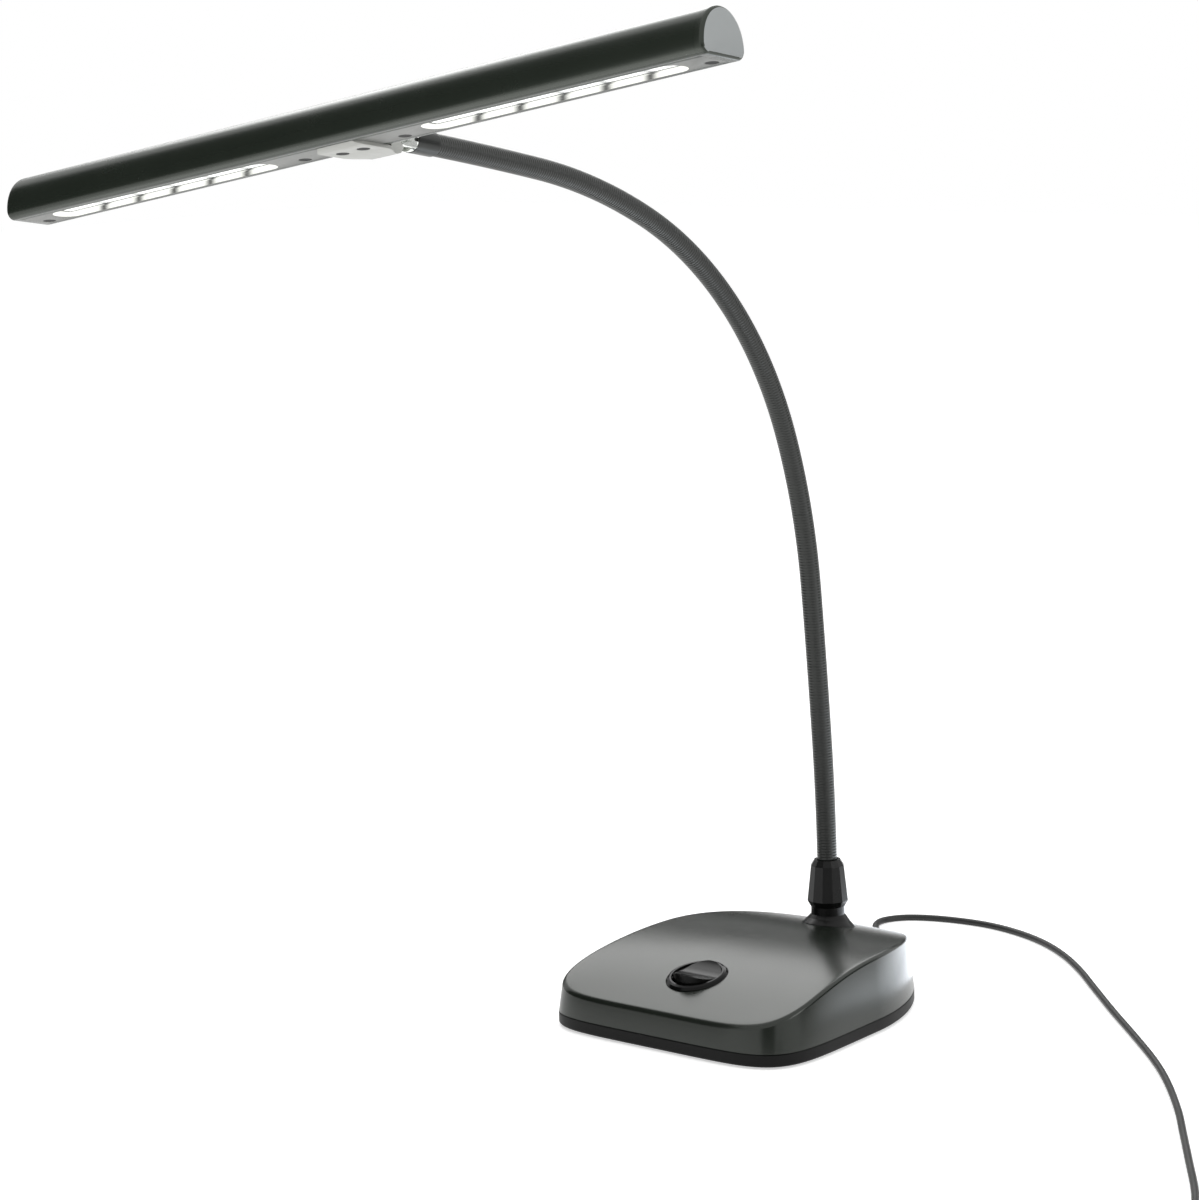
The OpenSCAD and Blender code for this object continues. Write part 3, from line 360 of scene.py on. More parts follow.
def glowing(name, colour, strength, rough=(0.2, 0.3), own=1.0):
    """A finish that glows: a lamp on the chips, painted light on the cups and window walls; own is
    how light the material is when its lamp is off.
    """
    light = tuple(c * own for c in colour)
    dark = tuple(c * own * OWN_DARK for c in colour)
    material = finish(name, dark, light, rough)
    shader = shader_of(material)
    shader.inputs["Emission Color"].default_value = (*colour, 1)
    shader.inputs["Emission Strength"].default_value = strength
    return material


def clear_cover(name):
    """A clear cover so thin that it only adds a gleam to what lies behind it."""
    material = finish(name, (0.9, 0.92, 0.92), (0.95, 0.96, 0.96), (0.05, 0.1))
    shader_of(material).inputs["Alpha"].default_value = COVER_ALPHA
    return material


paint["chip_light"] = glowing("chip_light", (1.0, 0.98, 0.92), 2.5)
# the cups are no lamp: their glow is painted light from the chips
paint["cups_painted_glow"] = glowing("cups_painted_glow", (0.88, 0.89, 0.88), 0.8)
# the window walls are no lamp either: their glow is painted light from the chips
paint["painted_wall_glow"] = glowing("painted_wall_glow", (0.9, 0.91, 0.86), 0.8, rough=(0.4, 0.5), own=0.12)
paint["window_clear"] = clear_cover("window_clear")
print("finishes with the glowing and clear ones:", len(paint))

# %% [markdown]
# ## The lead
# The lead leaves the back of the base through a grommet, drops to the table, swings round
# behind the base and runs off past the lower right of the picture. The rest of its length
# is put away in a neat coil beside its power supply. A curve with a round bevel is the
# right tool: its own line is the real length, and the points are few.

# %% The lead's route
LEAD_D = 3.4
LEAD_POINTS = [
    (0, 44.036, 12.2), (-2, 52, 11.8), (-8, 63, 10.4), (-17, 77, 7.6), (-30, 91, 4),
    (-45, 103, 2), (-56, 115, 1.7), (-59, 127, 1.7), (-52, 139, 1.7), (-35, 147, 1.7),
    (-11, 150, 1.7), (12, 146, 1.7), (36, 136, 1.7), (60, 120, 1.7), (84, 99, 1.7),
    (108, 75, 1.7), (140, 43, 1.7), (172, 12, 1.7), (202, -18, 1.7), (226, -45, 1.7),
    (252, -78, 1.7), (272, -106, 1.7), (294, -137, 1.7), (320, -174, 1.7),
    (336, -202, 1.7), (352, -236, 2.2)]
COIL_TURNS, COIL_LAYERS, COIL_START = 9.25, 4, 210
COIL_MIDDLE, COIL_STEP = (385, -262), 4
COIL_MEAN_R, LAYER_RISE, COIL_LOW = 5.5 * LEAD_D, LEAD_D + 0.5, 2.7
LAYER_TURNS = COIL_TURNS / COIL_LAYERS
SUPPLY_WAY = math.radians(30)
SUPPLY_MID_Z, TAIL_LENGTH = 14, 32


def coil_point(turns):
    """A point of the coil: it spirals in and out, and climbs where the spiral reverses."""
    steps = turns / LAYER_TURNS
    layer = math.floor(steps)
    inward = steps - layer if layer % 2 == 0 else 1 - steps + layer
    nearest = min(COIL_LAYERS - 1, round(steps))
    climb = 0
    if nearest >= 1:
        climb = nearest - 0.5 + max(-0.5, min(0.5, (turns - nearest * LAYER_TURNS) / 0.5))
    radius = COIL_MEAN_R + COIL_STEP * LAYER_TURNS * (0.5 - inward)
    angle = math.radians(COIL_START + 360 * turns)
    return (COIL_MIDDLE[0] + radius * math.cos(angle), COIL_MIDDLE[1] + radius * math.sin(angle),
            COIL_LOW + LAYER_RISE * climb)


def smooth_run(points, steps):
    """Extra points along a smooth line through the given ones, never below the table."""
    padded = [2 * points[0] - points[1], *points, 2 * points[-1] - points[-2]]
    run = []
    for a, b, c, d in zip(padded, padded[1:], padded[2:], padded[3:]):
        for k in range(steps):
            t = k / steps
            p = 0.5 * (2 * b + (c - a) * t + (2 * a - 5 * b + 4 * c - d) * t ** 2
                       + (3 * b - a - 3 * c + d) * t ** 3)
            run.append(Vector((p.x, p.y, max(p.z, LEAD_D / 2))))
    return run + [points[-1]]


STEPS_PER_TURN, LEAD_SIDES = 36, 12
coil = [Vector(coil_point(i / STEPS_PER_TURN)) for i in range(int(COIL_TURNS * STEPS_PER_TURN) + 1)]
free_run = smooth_run([Vector(p) for p in LEAD_POINTS] + [coil[0]], 4)
coil_end, leaving = coil[-1], (coil[-1] - coil[-2]).normalized()
way = Vector((math.cos(SUPPLY_WAY), math.sin(SUPPLY_WAY), 0))
foot = Vector((coil_end.x, coil_end.y, 0))
supply_inlet = foot + TAIL_LENGTH * way + Vector((0, 0, SUPPLY_MID_Z))
tail = smooth_run([coil_end, coil_end + 5 * leaving, foot + 14 * way + Vector((0, 0, 11.5)),
                   foot + 22 * way + Vector((0, 0, 11.8)), supply_inlet - 4 * way, supply_inlet], 4)
lead_line = free_run[:-1] + coil[:-1] + tail

# %% The lead as a curve
def poly_curve(name, line):
    """A curve in metres along a line of points in millimetres."""
    curve = bpy.data.curves.new(name, "CURVE")
    curve.dimensions = "3D"
    spline = curve.splines.new("POLY")
    spline.points.add(len(line) - 1)
    for point, place in zip(spline.points, line):
        point.co = (*(c * MM for c in place), 1)
    return curve


def tube_curve(name, line, diameter, sides):
    """A round tube along a line of points, as a curve with a bevel."""
    curve = poly_curve(name, line)
    curve.bevel_depth = diameter / 2 * MM
    curve.bevel_resolution = (sides - 4) // 2
    curve.use_fill_caps = True
    curve.splines[0].use_smooth = True
    return curve


lead = new_object("lead", tube_curve("lead", lead_line, LEAD_D, LEAD_SIDES))
lead.data.materials.append(paint["lead_black"])
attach(lead, "base")
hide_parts("cord", "cord_coil", "cord_tail")
print("the lead leaves the grommet at", tuple(round(c, 1) for c in lead_line[0]))

# %% [markdown]
# ## The studio
# The picture has a plain white ground. The floor takes the lamp's shadow, and a little
# emission that only the camera, mirrors and glass see lifts it to white without putting
# more light on the lamp. Large soft lamps stand behind and above, where the highlights
# on the real lamp come from, and two low ones stand for the brightly lit table. Glossy
# black shows nothing but its surroundings, so cards stand where the photograph's
# reflections are dark, and one grey card stands where they are half dark.

# %% The studio
LAMP_LIFT, CARD_GRAIN = 0.005, 1.2


def seen_directly(tree):
    """1 for rays from the camera and for mirrored or refracted ones, 0 for light on things."""
    path, maths = tree.nodes.new("ShaderNodeLightPath").outputs, chain(tree)
    mirrored = maths("MAXIMUM", path["Is Camera Ray"], path["Is Glossy Ray"])
    return maths("MAXIMUM", mirrored, path["Is Transmission Ray"])


def white_world(ambient):
    """White to the eye and in reflections, dimmer as a light."""
    world = bpy.data.worlds.new("studio")
    world.use_nodes = True
    tree = world.node_tree
    background = tree.nodes["Background"]
    background.inputs["Color"].default_value = (1, 1, 1, 1)
    level = tree.nodes.new("ShaderNodeMapRange")
    level.inputs["To Min"].default_value = ambient
    level.inputs["To Max"].default_value = 1.0
    tree.links.new(seen_directly(tree), level.inputs["Value"])
    tree.links.new(level.outputs["Result"], background.inputs["Strength"])
    return world


def facing(place, target, axis):
    """The rotation that points an object's axis from its place to a target."""
    return (Vector(target) - Vector(place)).to_track_quat(axis, "Y").to_euler()


def soft_lamp(name, place, target, size, power, colour=(1, 1, 1)):
    data = bpy.data.lights.new(name, "AREA")
    data.shape = "RECTANGLE"
    data.size, data.size_y = size
    data.energy = power
    data.color = colour
    lamp = new_object(name, data)
    lamp.location = place
    lamp.rotation_euler = facing(place, target, "-Z")
    return lamp


def floor_glow(name, place, size, power, colour):
    """A low lamp that faces up: the lit table, as the underside and rear wall mirror it."""
    glow = soft_lamp(name, (*place, LAMP_LIFT), (*place, 1), size, power, colour)
    glow.visible_camera = False
    return glow


def flat_sheet(name, half_w, half_h, material):
    corners = [(x * half_w, y * half_h, 0) for x, y in ((-1, -1), (1, -1), (1, 1), (-1, 1))]
    mesh = bpy.data.meshes.new(name)
    mesh.from_pydata(corners, [], [(0, 1, 2, 3)])
    mesh.materials.append(material)
    return new_object(name, mesh)


def dark_card(name, place, target, size, shade_of_grey):
    """A card that only reflections see: glossy surfaces need something dark to show."""
    dark, light = (shade_of_grey,) * 3, (shade_of_grey * CARD_GRAIN,) * 3
    material = finish(name, dark, light, (0.9, 1.0), specular=0.0)
    card = flat_sheet(name, size[0] / 2, size[1] / 2, material)
    card.location = place
    card.rotation_euler = facing(place, target, "Z")
    card.visible_camera = card.visible_diffuse = False
    card.visible_shadow = card.visible_transmission = False
    return card


def white_floor(half, lift):
    """A matt floor that catches shadows; lift is the emission that the camera sees."""
    material, shader = new_material("floor_white")
    shader.inputs["Base Color"].default_value = (0.8, 0.8, 0.8, 1)
    shader.inputs["Roughness"].default_value = 0.9
    shader.inputs["Specular IOR Level"].default_value = 0.1
    shader.inputs["Emission Color"].default_value = (1, 1, 1, 1)
    tree = material.node_tree
    glow = chain(tree)("MULTIPLY", seen_directly(tree), lift)
    tree.links.new(glow, shader.inputs["Emission Strength"])
    floor = flat_sheet("floor", half, half, material)
    return floor


bpy.context.scene.view_settings.view_transform = "Standard"
bpy.context.scene.world = white_world(0.55)
white_floor(6, 0.55)
# place, the point that it faces, width and height, and power in watts
soft_lamp("back_lamp", (-1.4, 1.4, 1.25), (0, -0.1, 0.1), (1.6, 0.8), 7)
soft_lamp("head_lamp", (-0.75, 0.35, 1.02), (0, -0.32, 0.44), (0.8, 0.35), 2.0)
soft_lamp("side_lamp", (1.1, 0.25, 0.62), (0, -0.1, 0.3), (0.5, 0.5), 2)
soft_lamp("top_lamp", (0.2, -0.2, 1.9), (0, -0.1, 0.2), (1.2, 1.2), 12).visible_glossy = False
floor_glow("rear_glow", (0.05, 0.17), (0.30, 0.26), 0.6, (0.86, 0.92, 1))
floor_glow("table_glow", (0.05, -0.75), (1.1, 0.7), 2.7, (1, 1, 1))
# place, the point that it faces, width and height, and how light it is
dark_card("left_card", (-1.2, -1.3, 1.0), (0, -1.3, 1.0), (2.0, 2.0), 0.008)
dark_card("grey_card", (-0.95, 1.05, 0.37), (0, 0, 0.37), (2.3, 0.25), 0.45)
dark_card("low_card", (-1.0, 1.1, 0.37), (0, 0, 0.37), (2.4, 0.74), 0.03)
dark_card("right_card", (1.15, 1.15, 0.4), (0, 0, 0.4), (1.1, 0.8), 0.02)
dark_card("near_card", (1.2, -1.5, 0.35), (0, 0, 0.35), (1.2, 0.8), 0.01)
print("studio: white ground, six soft lamps and five cards")

# %% [markdown]
# ## The base cover
# The base is one moulding: a low wedge, square in front and round at the back, whose top
# rises to a crest and falls again behind the neck. The plan is a superellipse and the top
# is a cubic through four heights, so the cover is a loft of rings that a few numbers
# describe. The inner skin is the same loft drawn in by the wall.

# %% The base's outline
BASE_W, BASE_D, BASE_BACK, BASE_TAPER = 139, 176, 37.5, 0.12
TOP_HEIGHTS = (18.2, 33.6, 36.2, 24.5)
CROWN, DRAFT, EDGE_R, WALL, SEAM_Z = 0.6, 0.12, 1.8, 2.4, 7
FRONT_POWER, BACK_POWER = 5.8, 2
BASE_FRONT_Y, BASE_MID_Y = BASE_BACK - BASE_D, BASE_BACK - BASE_D / 2
AROUND, FINE_STEPS = 288, 7200


def signed_power(value, power):
    return math.copysign(abs(value) ** power, value)


def plan_point(angle, inset):
    """A point of the plan, square in front and round behind, drawn in by an inset."""
    power = FRONT_POWER if angle > math.pi + 1e-9 else BACK_POWER
    y = BASE_MID_Y + (BASE_D / 2 - inset) * signed_power(math.sin(angle), 2 / power)
    widen = 1 - BASE_TAPER * (y - BASE_MID_Y) / (BASE_D / 2)
    return (BASE_W / 2 * widen - inset) * signed_power(math.cos(angle), 2 / power), y


def top_z(y):
    """Height of the top along the middle: the cubic through four heights."""
    a = 3 * (y - BASE_FRONT_Y) / BASE_D
    front, rise, crest, back = TOP_HEIGHTS
    return (front * (1 - a) * (2 - a) * (3 - a) / 6 + rise * a * (2 - a) * (3 - a) / 2
            + crest * a * (a - 1) * (3 - a) / 2 + back * a * (a - 1) * (a - 2) / 6)


def spread_angles(count):
    """Angles round the plan that lie evenly along its edge, square corners included."""
    fine = [2 * math.pi * i / FINE_STEPS for i in range(FINE_STEPS + 1)]
    points = [plan_point(a, 0) for a in fine]
    walked = [0]
    for (x0, y0), (x1, y1) in zip(points, points[1:]):
        walked.append(walked[-1] + math.hypot(x1 - x0, y1 - y0))
    angles, k = [], 0
    for i in range(count):
        goal = walked[-1] * i / count
        while walked[k + 1] < goal:
            k += 1
        share = (goal - walked[k]) / (walked[k + 1] - walked[k])
        angles.append(fine[k] + (fine[k + 1] - fine[k]) * share)
    return angles


rim_angles = spread_angles(AROUND)
print(f"base outline: {AROUND} points, front edge at y = {BASE_FRONT_Y} mm")

# %% The base cover as a loft
EDGE_STEPS, SEAM_ROUND = 6, 0.3
SWITCH_Y, SEAT_SINK, HOLE_SIDES = -103.5, 0.6, 96
TOP_SHARES = (1, 0.97, 0.93, 0.86, 0.78, 0.69, 0.6, 0.5, 0.4, 0.3, 0.2, 0.1, 0.02)


def side_ring(wall, drop, extra):
    """A ring of the side wall, a drop below the top and set in by extra."""
    ring = []
    for angle in rim_angles:
        z = top_z(plan_point(angle, wall)[1]) - drop - wall
        x, y = plan_point(angle, wall + DRAFT * z + extra)
        ring.append((x, y, top_z(y) - drop - wall))
    return ring


def top_ring(rim, wall, share):
    """A ring of the top: the rim drawn in to a share of its size, and up by the crown."""
    ring = []
    for x, y, _ in rim:
        near = BASE_MID_Y + (y - BASE_MID_Y) * share
        ring.append((x * share, near, top_z(near) + CROWN * (1 - share ** 2) - wall))
    return ring


def flat_ring(inset, z):
    return [(*plan_point(angle, inset), z) for angle in rim_angles]


def cover_rings(wall):
    """Rings from the seam up the side, round the edge and in over the top."""
    edge = [side_ring(wall, EDGE_R * (1 - math.sin(t)), EDGE_R * (1 - math.cos(t)))
            for t in quarter_turn(EDGE_STEPS)]
    rim = side_ring(wall, 0, EDGE_R)
    over = [top_ring(rim, wall, share) for share in TOP_SHARES]
    return [flat_ring(wall + DRAFT * SEAM_Z, SEAM_Z)] + edge + over


def make_cover():
    outer, inner = cover_rings(0), cover_rings(WALL)
    seam_round = flat_ring(DRAFT * SEAM_Z + SEAM_ROUND, SEAM_Z)
    outer[0] = flat_ring(DRAFT * (SEAM_Z + SEAM_ROUND), SEAM_Z + SEAM_ROUND)
    rings = inner[::-1] + [seam_round] + outer
    return mesh_from("base_cover", *loft(rings), smooth_angle=40)


def cylinder_mesh(name, radius, low, high, place, slope):
    """A cylinder from a low to a high level of an axis that leans by a slope, for cutting."""
    lean = Matrix.Translation(Vector(place)) @ Matrix.Rotation(slope, 4, "X")
    around = [2 * math.pi * i / HOLE_SIDES for i in range(HOLE_SIDES)]
    rings = [in_frame(lean, [(radius * math.cos(a), radius * math.sin(a), z) for a in around])
             for z in (low, high)]
    return mesh_from(name, *loft(rings))


def cut(piece, *cutters):
    """Cuts meshes out of a piece and keeps the result as plain data."""
    for cutter in cutters:
        tool = new_object("cutter", cutter)
        modifier = piece.modifiers.new("cut", "BOOLEAN")
        modifier.object, modifier.operation, modifier.solver = tool, "DIFFERENCE", "EXACT"
        old = piece.data
        piece.data = evaluated_mesh(piece, old.name)
        piece.modifiers.clear()
        bpy.data.objects.remove(tool)
        bpy.data.meshes.remove(old)


def seat_on_top(y):
    """Place of a seat that is sunk into the top, and how the top leans there."""
    return (0, y, top_z(y) - SEAT_SINK), math.atan(top_z(y + 0.5) - top_z(y - 0.5))


(switch_at, switch_lean), (foot_at, foot_lean) = seat_on_top(SWITCH_Y), seat_on_top(0)
HOLES = {  # radius, low and high level on the axis, place and lean
    "seat": (15.3, 0, 8, switch_at, switch_lean),
    "barrel": (13.4, -10, 4, switch_at, switch_lean),
    "foot": (13.4, 0, 8, foot_at, foot_lean),
    "shank": (6.1, -12, 4, foot_at, 0),
    "outlet": (3.6, -8, 8, (0, 36, 12.2), -math.pi / 2)}
base_cover = add_piece("base_cover", make_cover(), "base", "base_shell")
cut(base_cover, *(cylinder_mesh(name, *hole) for name, hole in HOLES.items()))
shade(base_cover.data, 40)
base_cover.data.materials.clear()
base_cover.data.materials.append(paint["satin_base"])
print("base cover:", len(base_cover.data.polygons), "faces")

# %% [markdown]
# ## The tray
# Below the seam the base closes with a flat black tray whose lower edge is rounded under,
# so the lamp seems to hover a millimetre over the table. It is the same outline again,
# with rings that follow the rounding.

# %% The tray
TRAY_INSET, TRAY_WALL, TRAY_FLOOR, PAD_PROUD = 0.8, 2.2, 4.0, 0.8
TRAY_ROUND, TRAY_STEPS, UNDER_INSET = 1.6, 6, 9
RIM_TOP, RIM_BEVEL, BEVEL_Z = SEAM_Z - 0.03, 0.3, SEAM_Z - 0.35


def make_tray():
    """Rings from the middle of the underside, up the rim and down inside."""
    under = [flat_ring(UNDER_INSET, PAD_PROUD)]
    for t in quarter_turn(TRAY_STEPS, whole=True):
        inset = TRAY_INSET + TRAY_ROUND * (1 - math.sin(t))
        under.append(flat_ring(inset, PAD_PROUD + TRAY_ROUND * (1 - math.cos(t))))
    rim = [flat_ring(TRAY_INSET, BEVEL_Z), flat_ring(TRAY_INSET + RIM_BEVEL, RIM_TOP)]
    inside = [flat_ring(TRAY_INSET + TRAY_WALL, z) for z in (RIM_TOP, TRAY_FLOOR)]
    return mesh_from("tray", *loft(under + rim + inside), smooth_angle=40)


tray = add_piece("tray", make_tray(), "base", "base_tray")
tray.data.materials.append(paint["tray_black"])
print("tray:", len(tray.data.polygons), "faces")

# %% [markdown]
# ## The ribbed neck
# A bendable neck is a round wire wound tight over a softer core, so it shows fine ribs
# about 1.5 mm apart. Geometry Nodes suit it: a ring is swept along the middle line, and its
# radius rises and falls with the length. One sleeve is made for each knuckle, from the
# middle of one link to the middle of the next.

# %% The neck's middle line
NECK_TURNS = (4.5, 1.5, 14.5, 22, 21.5, 14, 2)
NECK_LENGTH, NECK_START_Z, NECK_R = 544, 50, 5
LINK = NECK_LENGTH / len(NECK_TURNS)
ROOT, TIP_COVER = 6, 8.1


def link_frames():
    """Start point and lean of each link, and of the neck's end, in degrees."""
    place, lean, frames = Vector((0, 0, NECK_START_Z)), 0.0, []
    for turn_by in NECK_TURNS:
        frames.append((place.copy(), lean))
        place = place_on_link(place, lean, turn_by, LINK)
        lean += turn_by
    return frames + [(place, lean)]


def place_on_link(start, lean, turn_by, distance):
    """The point at a distance along a link that leans at its start and turns as it goes."""
    radius = LINK / math.radians(turn_by)
    angle = distance / radius
    y, z = -radius * (1 - math.cos(angle)), radius * math.sin(angle)
    lean = math.radians(lean)
    side, rise = math.cos(lean), math.sin(lean)
    return start + Vector((0, y * side - z * rise, y * rise + z * side))


neck_frames = link_frames()


def neck_point(distance):
    """The point at a distance along the whole neck; below its start the neck is upright."""
    if distance < 0:
        return Vector((0, 0, NECK_START_Z + distance))
    k = min(int(distance / LINK), len(NECK_TURNS) - 1)
    start, lean = neck_frames[k]
    return place_on_link(start, lean, NECK_TURNS[k], distance - k * LINK)


neck_end, end_lean = neck_frames[-1]
print("neck ends at", tuple(round(c, 1) for c in neck_end), "mm, leaning", end_lean, "degrees")

# %% Geometry Nodes for a ribbed sleeve
def ribbed_sleeve_tree():
    """Sweeps a ring along a curve. Its radius falls in a sharp groove once every rib."""
    tree = bpy.data.node_groups.new("ribbed sleeve", "GeometryNodeTree")
    face = tree.interface
    face.new_socket("Path", in_out="INPUT", socket_type="NodeSocketGeometry")
    sockets = {"Radius": 0.005, "Groove": 0.0004, "Rib Pitch": 0.002,
               "Rings per Rib": 6, "Sides": 40}
    for name, value in sockets.items():
        kind = "NodeSocketInt" if isinstance(value, int) else "NodeSocketFloat"
        face.new_socket(name, in_out="INPUT", socket_type=kind).default_value = value
    face.new_socket("Material", in_out="INPUT", socket_type="NodeSocketMaterial")
    face.new_socket("Sleeve", in_out="OUTPUT", socket_type="NodeSocketGeometry")
    new, link = tree.nodes.new, tree.links.new
    ins, outs, maths = new("NodeGroupInput"), new("NodeGroupOutput"), chain(tree)
    length = new("GeometryNodeCurveLength")
    link(ins.outputs["Path"], length.inputs[0])
    ribs = maths("ROUND", maths("DIVIDE", length.outputs[0], ins.outputs["Rib Pitch"]))
    ring_count = maths("ADD", maths("MULTIPLY", ribs, ins.outputs["Rings per Rib"]), 1)
    fine = new("GeometryNodeResampleCurve")
    link(ins.outputs["Path"], fine.inputs["Curve"])
    link(ring_count, fine.inputs["Count"])
    along = new("GeometryNodeSplineParameter").outputs["Factor"]
    phase = maths("MULTIPLY", maths("MULTIPLY", along, ribs), math.pi)
    wave = maths("ABSOLUTE", maths("COSINE", phase))
    depth = maths("MULTIPLY", maths("POWER", wave, 3), ins.outputs["Groove"])
    ring_radius = maths("SUBTRACT", ins.outputs["Radius"], depth)
    ring = new("GeometryNodeCurvePrimitiveCircle")
    link(ins.outputs["Sides"], ring.inputs["Resolution"])
    ring.inputs["Radius"].default_value = 1
    sweep = new("GeometryNodeCurveToMesh")
    link(fine.outputs["Curve"], sweep.inputs["Curve"])
    link(ring.outputs["Curve"], sweep.inputs["Profile Curve"])
    sweep.inputs["Fill Caps"].default_value = True
    link(ring_radius, sweep.inputs["Scale"])
    cover = new("GeometryNodeSetMaterial")
    link(sweep.outputs["Mesh"], cover.inputs["Geometry"])
    link(ins.outputs["Material"], cover.inputs["Material"])
    realize = new("GeometryNodeRealizeInstances")
    link(cover.outputs[0], realize.inputs[0])
    link(realize.outputs[0], outs.inputs[0])
    return tree


def bake_tree(name, source, tree, **inputs):
    """Runs a node tree on a source object's data and returns the result as a plain mesh."""
    carrier = new_object(name, source)
    modifier = carrier.modifiers.new(tree.name, "NODES")
    modifier.node_group = tree
    for socket, value in inputs.items():
        modifier[socket_id(tree, socket.replace("_", " "))] = value
    mesh = evaluated_mesh(carrier, name)
    bpy.data.objects.remove(carrier)
    return mesh


sleeve_tree = ribbed_sleeve_tree()
print("sleeve tree has", len(sleeve_tree.nodes), "nodes")

# %% The sleeves, one for each knuckle
RIBS_PER_LINK, GROOVE, BEND_REACH, PATH_STEP = 54, 0.17, 24, 2
RIB_PITCH = LINK / RIBS_PER_LINK


def neck_path(low, high):
    """A curve along the neck's middle line, between two distances."""
    parts = round((high - low) / PATH_STEP)
    line = [neck_point(low + (high - low) * i / parts) for i in range(parts + 1)]
    return poly_curve("path", line)


def make_sleeve(k):
    """The sleeve over knuckle k, from mid link k to mid link k + 1, or to the neck's end."""
    low = -ROOT if k == 1 else (k - 0.5) * LINK
    high = NECK_LENGTH - TIP_COVER if k == len(NECK_TURNS) - 1 else (k + 0.5) * LINK
    mesh = bake_tree(f"neck_sleeve_{k}", neck_path(low, high), sleeve_tree, Radius=NECK_R * MM,
                     Groove=GROOVE * MM, Rib_Pitch=RIB_PITCH * MM, Material=paint["neck_dark"])
    shade(mesh, 50)
    sleeve = add_piece(f"neck_sleeve_{k}", mesh, None)
    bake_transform(sleeve)
    stands_for = [f"neck_winding_{k + 1}", f"neck_core_{k + 1}"]
    if k == 1:
        stands_for += ["neck_winding_1", "neck_core_1"]
    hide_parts(*stands_for)
    return sleeve


sleeves = [make_sleeve(k) for k in range(1, len(NECK_TURNS))]
sleeve_faces = sum(len(sleeve.data.polygons) for sleeve in sleeves)
print("sleeves:", len(sleeves), "with", sleeve_faces, "faces, rib pitch", round(RIB_PITCH, 3), "mm")

# %% [markdown]
# ## The head
# The light bar is an extruded profile: a dome over a flat underside, with soft lower
# corners. In the head's own frame x runs along the bar, y to its back and z up. A matrix
# carries that frame to the lamp in the steps of the real joints: the neck's end, the
# swivel's roll and the tilt about the pin.

# %% The head's frame
HEAD_ROLL, HEAD_TILT, PIVOT_AHEAD = 10.2, 1.2, 13
BRACKET_REACH, PIVOT_RISE = 30.6, 7.6


def turned(angle, axis):
    return Matrix.Rotation(math.radians(angle), 4, axis)


pivot = neck_end + PIVOT_AHEAD * (turned(end_lean, "X") @ Vector((0, 0, 1)))
swivel_frame = Matrix.Translation(pivot) @ turned(end_lean, "X") @ turned(HEAD_ROLL, "Z")
head_frame = (swivel_frame @ turned(-90, "X") @ turned(HEAD_TILT, "X")
              @ Matrix.Translation((0, -BRACKET_REACH, -PIVOT_RISE)))
head_middle = head_frame.to_translation()
print("underside centre of the head at", tuple(round(c, 1) for c in head_middle))

# %% [markdown]
# ## Painted light and shade along the head
# The photograph shows a light patch beside each cup and dark between two, which the glow
# of the cups and the window walls paints on as painted light and painted shade. The plate's
# margins beside the windows are dark. Both follow from the distance to the head's middle
# along one of its own axes, which a few Math nodes work out.

# %% Light beside the cups, and dark margins
WINDOW_START, WINDOW_L, WINDOW_W, LED_PITCH, LEDS = 44.2, 136.6, 14, 22.7, 6
FIRST_LED = WINDOW_START + WINDOW_L / 2 - (LEDS - 1) / 2 * LED_PITCH
MARGIN_FROM = WINDOW_W / 2 + 0.4


def from_middle(tree, axis):
    """Metres from the head's middle along one of its own axes, never negative."""
    way = head_frame.to_3x3() @ Vector(axis)
    along, maths = tree.nodes.new("ShaderNodeVectorMath"), chain(tree)
    along.operation = "DOT_PRODUCT"
    along.inputs[1].default_value = way
    place = tree.nodes.new("ShaderNodeTexCoord").outputs["Object"]
    tree.links.new(place, along.inputs[0])
    return maths("ABSOLUTE", maths("SUBTRACT", along.outputs["Value"], head_middle.dot(way) * MM))


def painted_glow_by_cups(material, strength, narrowness):
    """Painted glow beside each cup and painted shade between two, along the head."""
    tree, pitch = material.node_tree, LED_PITCH * MM
    maths = chain(tree)
    past_first = maths("SUBTRACT", from_middle(tree, (1, 0, 0)), FIRST_LED * MM)
    in_row = maths("MINIMUM", maths("MAXIMUM", past_first, 0), (LEDS - 1) * pitch)
    wave = maths("ABSOLUTE", maths("SINE", maths("MULTIPLY", in_row, math.pi / pitch)))
    between = maths("POWER", wave, narrowness)
    level = maths("MULTIPLY", maths("SUBTRACT", 1.0, between), strength)
    tree.links.new(level, shader_of(material).inputs["Emission Strength"])


def darken_margins(material, dark):
    """The plate's two long margins are dark, from just outside the windows to its edges."""
    tree, colour = material.node_tree, shader_of(material).inputs["Base Color"]
    in_margin = chain(tree)("GREATER_THAN", from_middle(tree, (0, 1, 0)), MARGIN_FROM * MM)
    mix = tree.nodes.new("ShaderNodeMix")
    mix.data_type = "RGBA"
    tree.links.new(in_margin, mix.inputs["Factor"])
    tree.links.new(colour.links[0].from_socket, mix.inputs["A"])
    mix.inputs["B"].default_value = (*dark, 1)
    tree.links.new(mix.outputs["Result"], colour)


# painted glow beside each cup and painted shade between two, on the walls and the cups
painted_glow_by_cups(paint["painted_wall_glow"], 1.1, 14)
painted_glow_by_cups(paint["cups_painted_glow"], 0.95, 24)
darken_margins(paint["plate_grey"], olive(0.03))
print("first light at", round(FIRST_LED, 2), "mm from the middle, then one every", LED_PITCH, "mm")

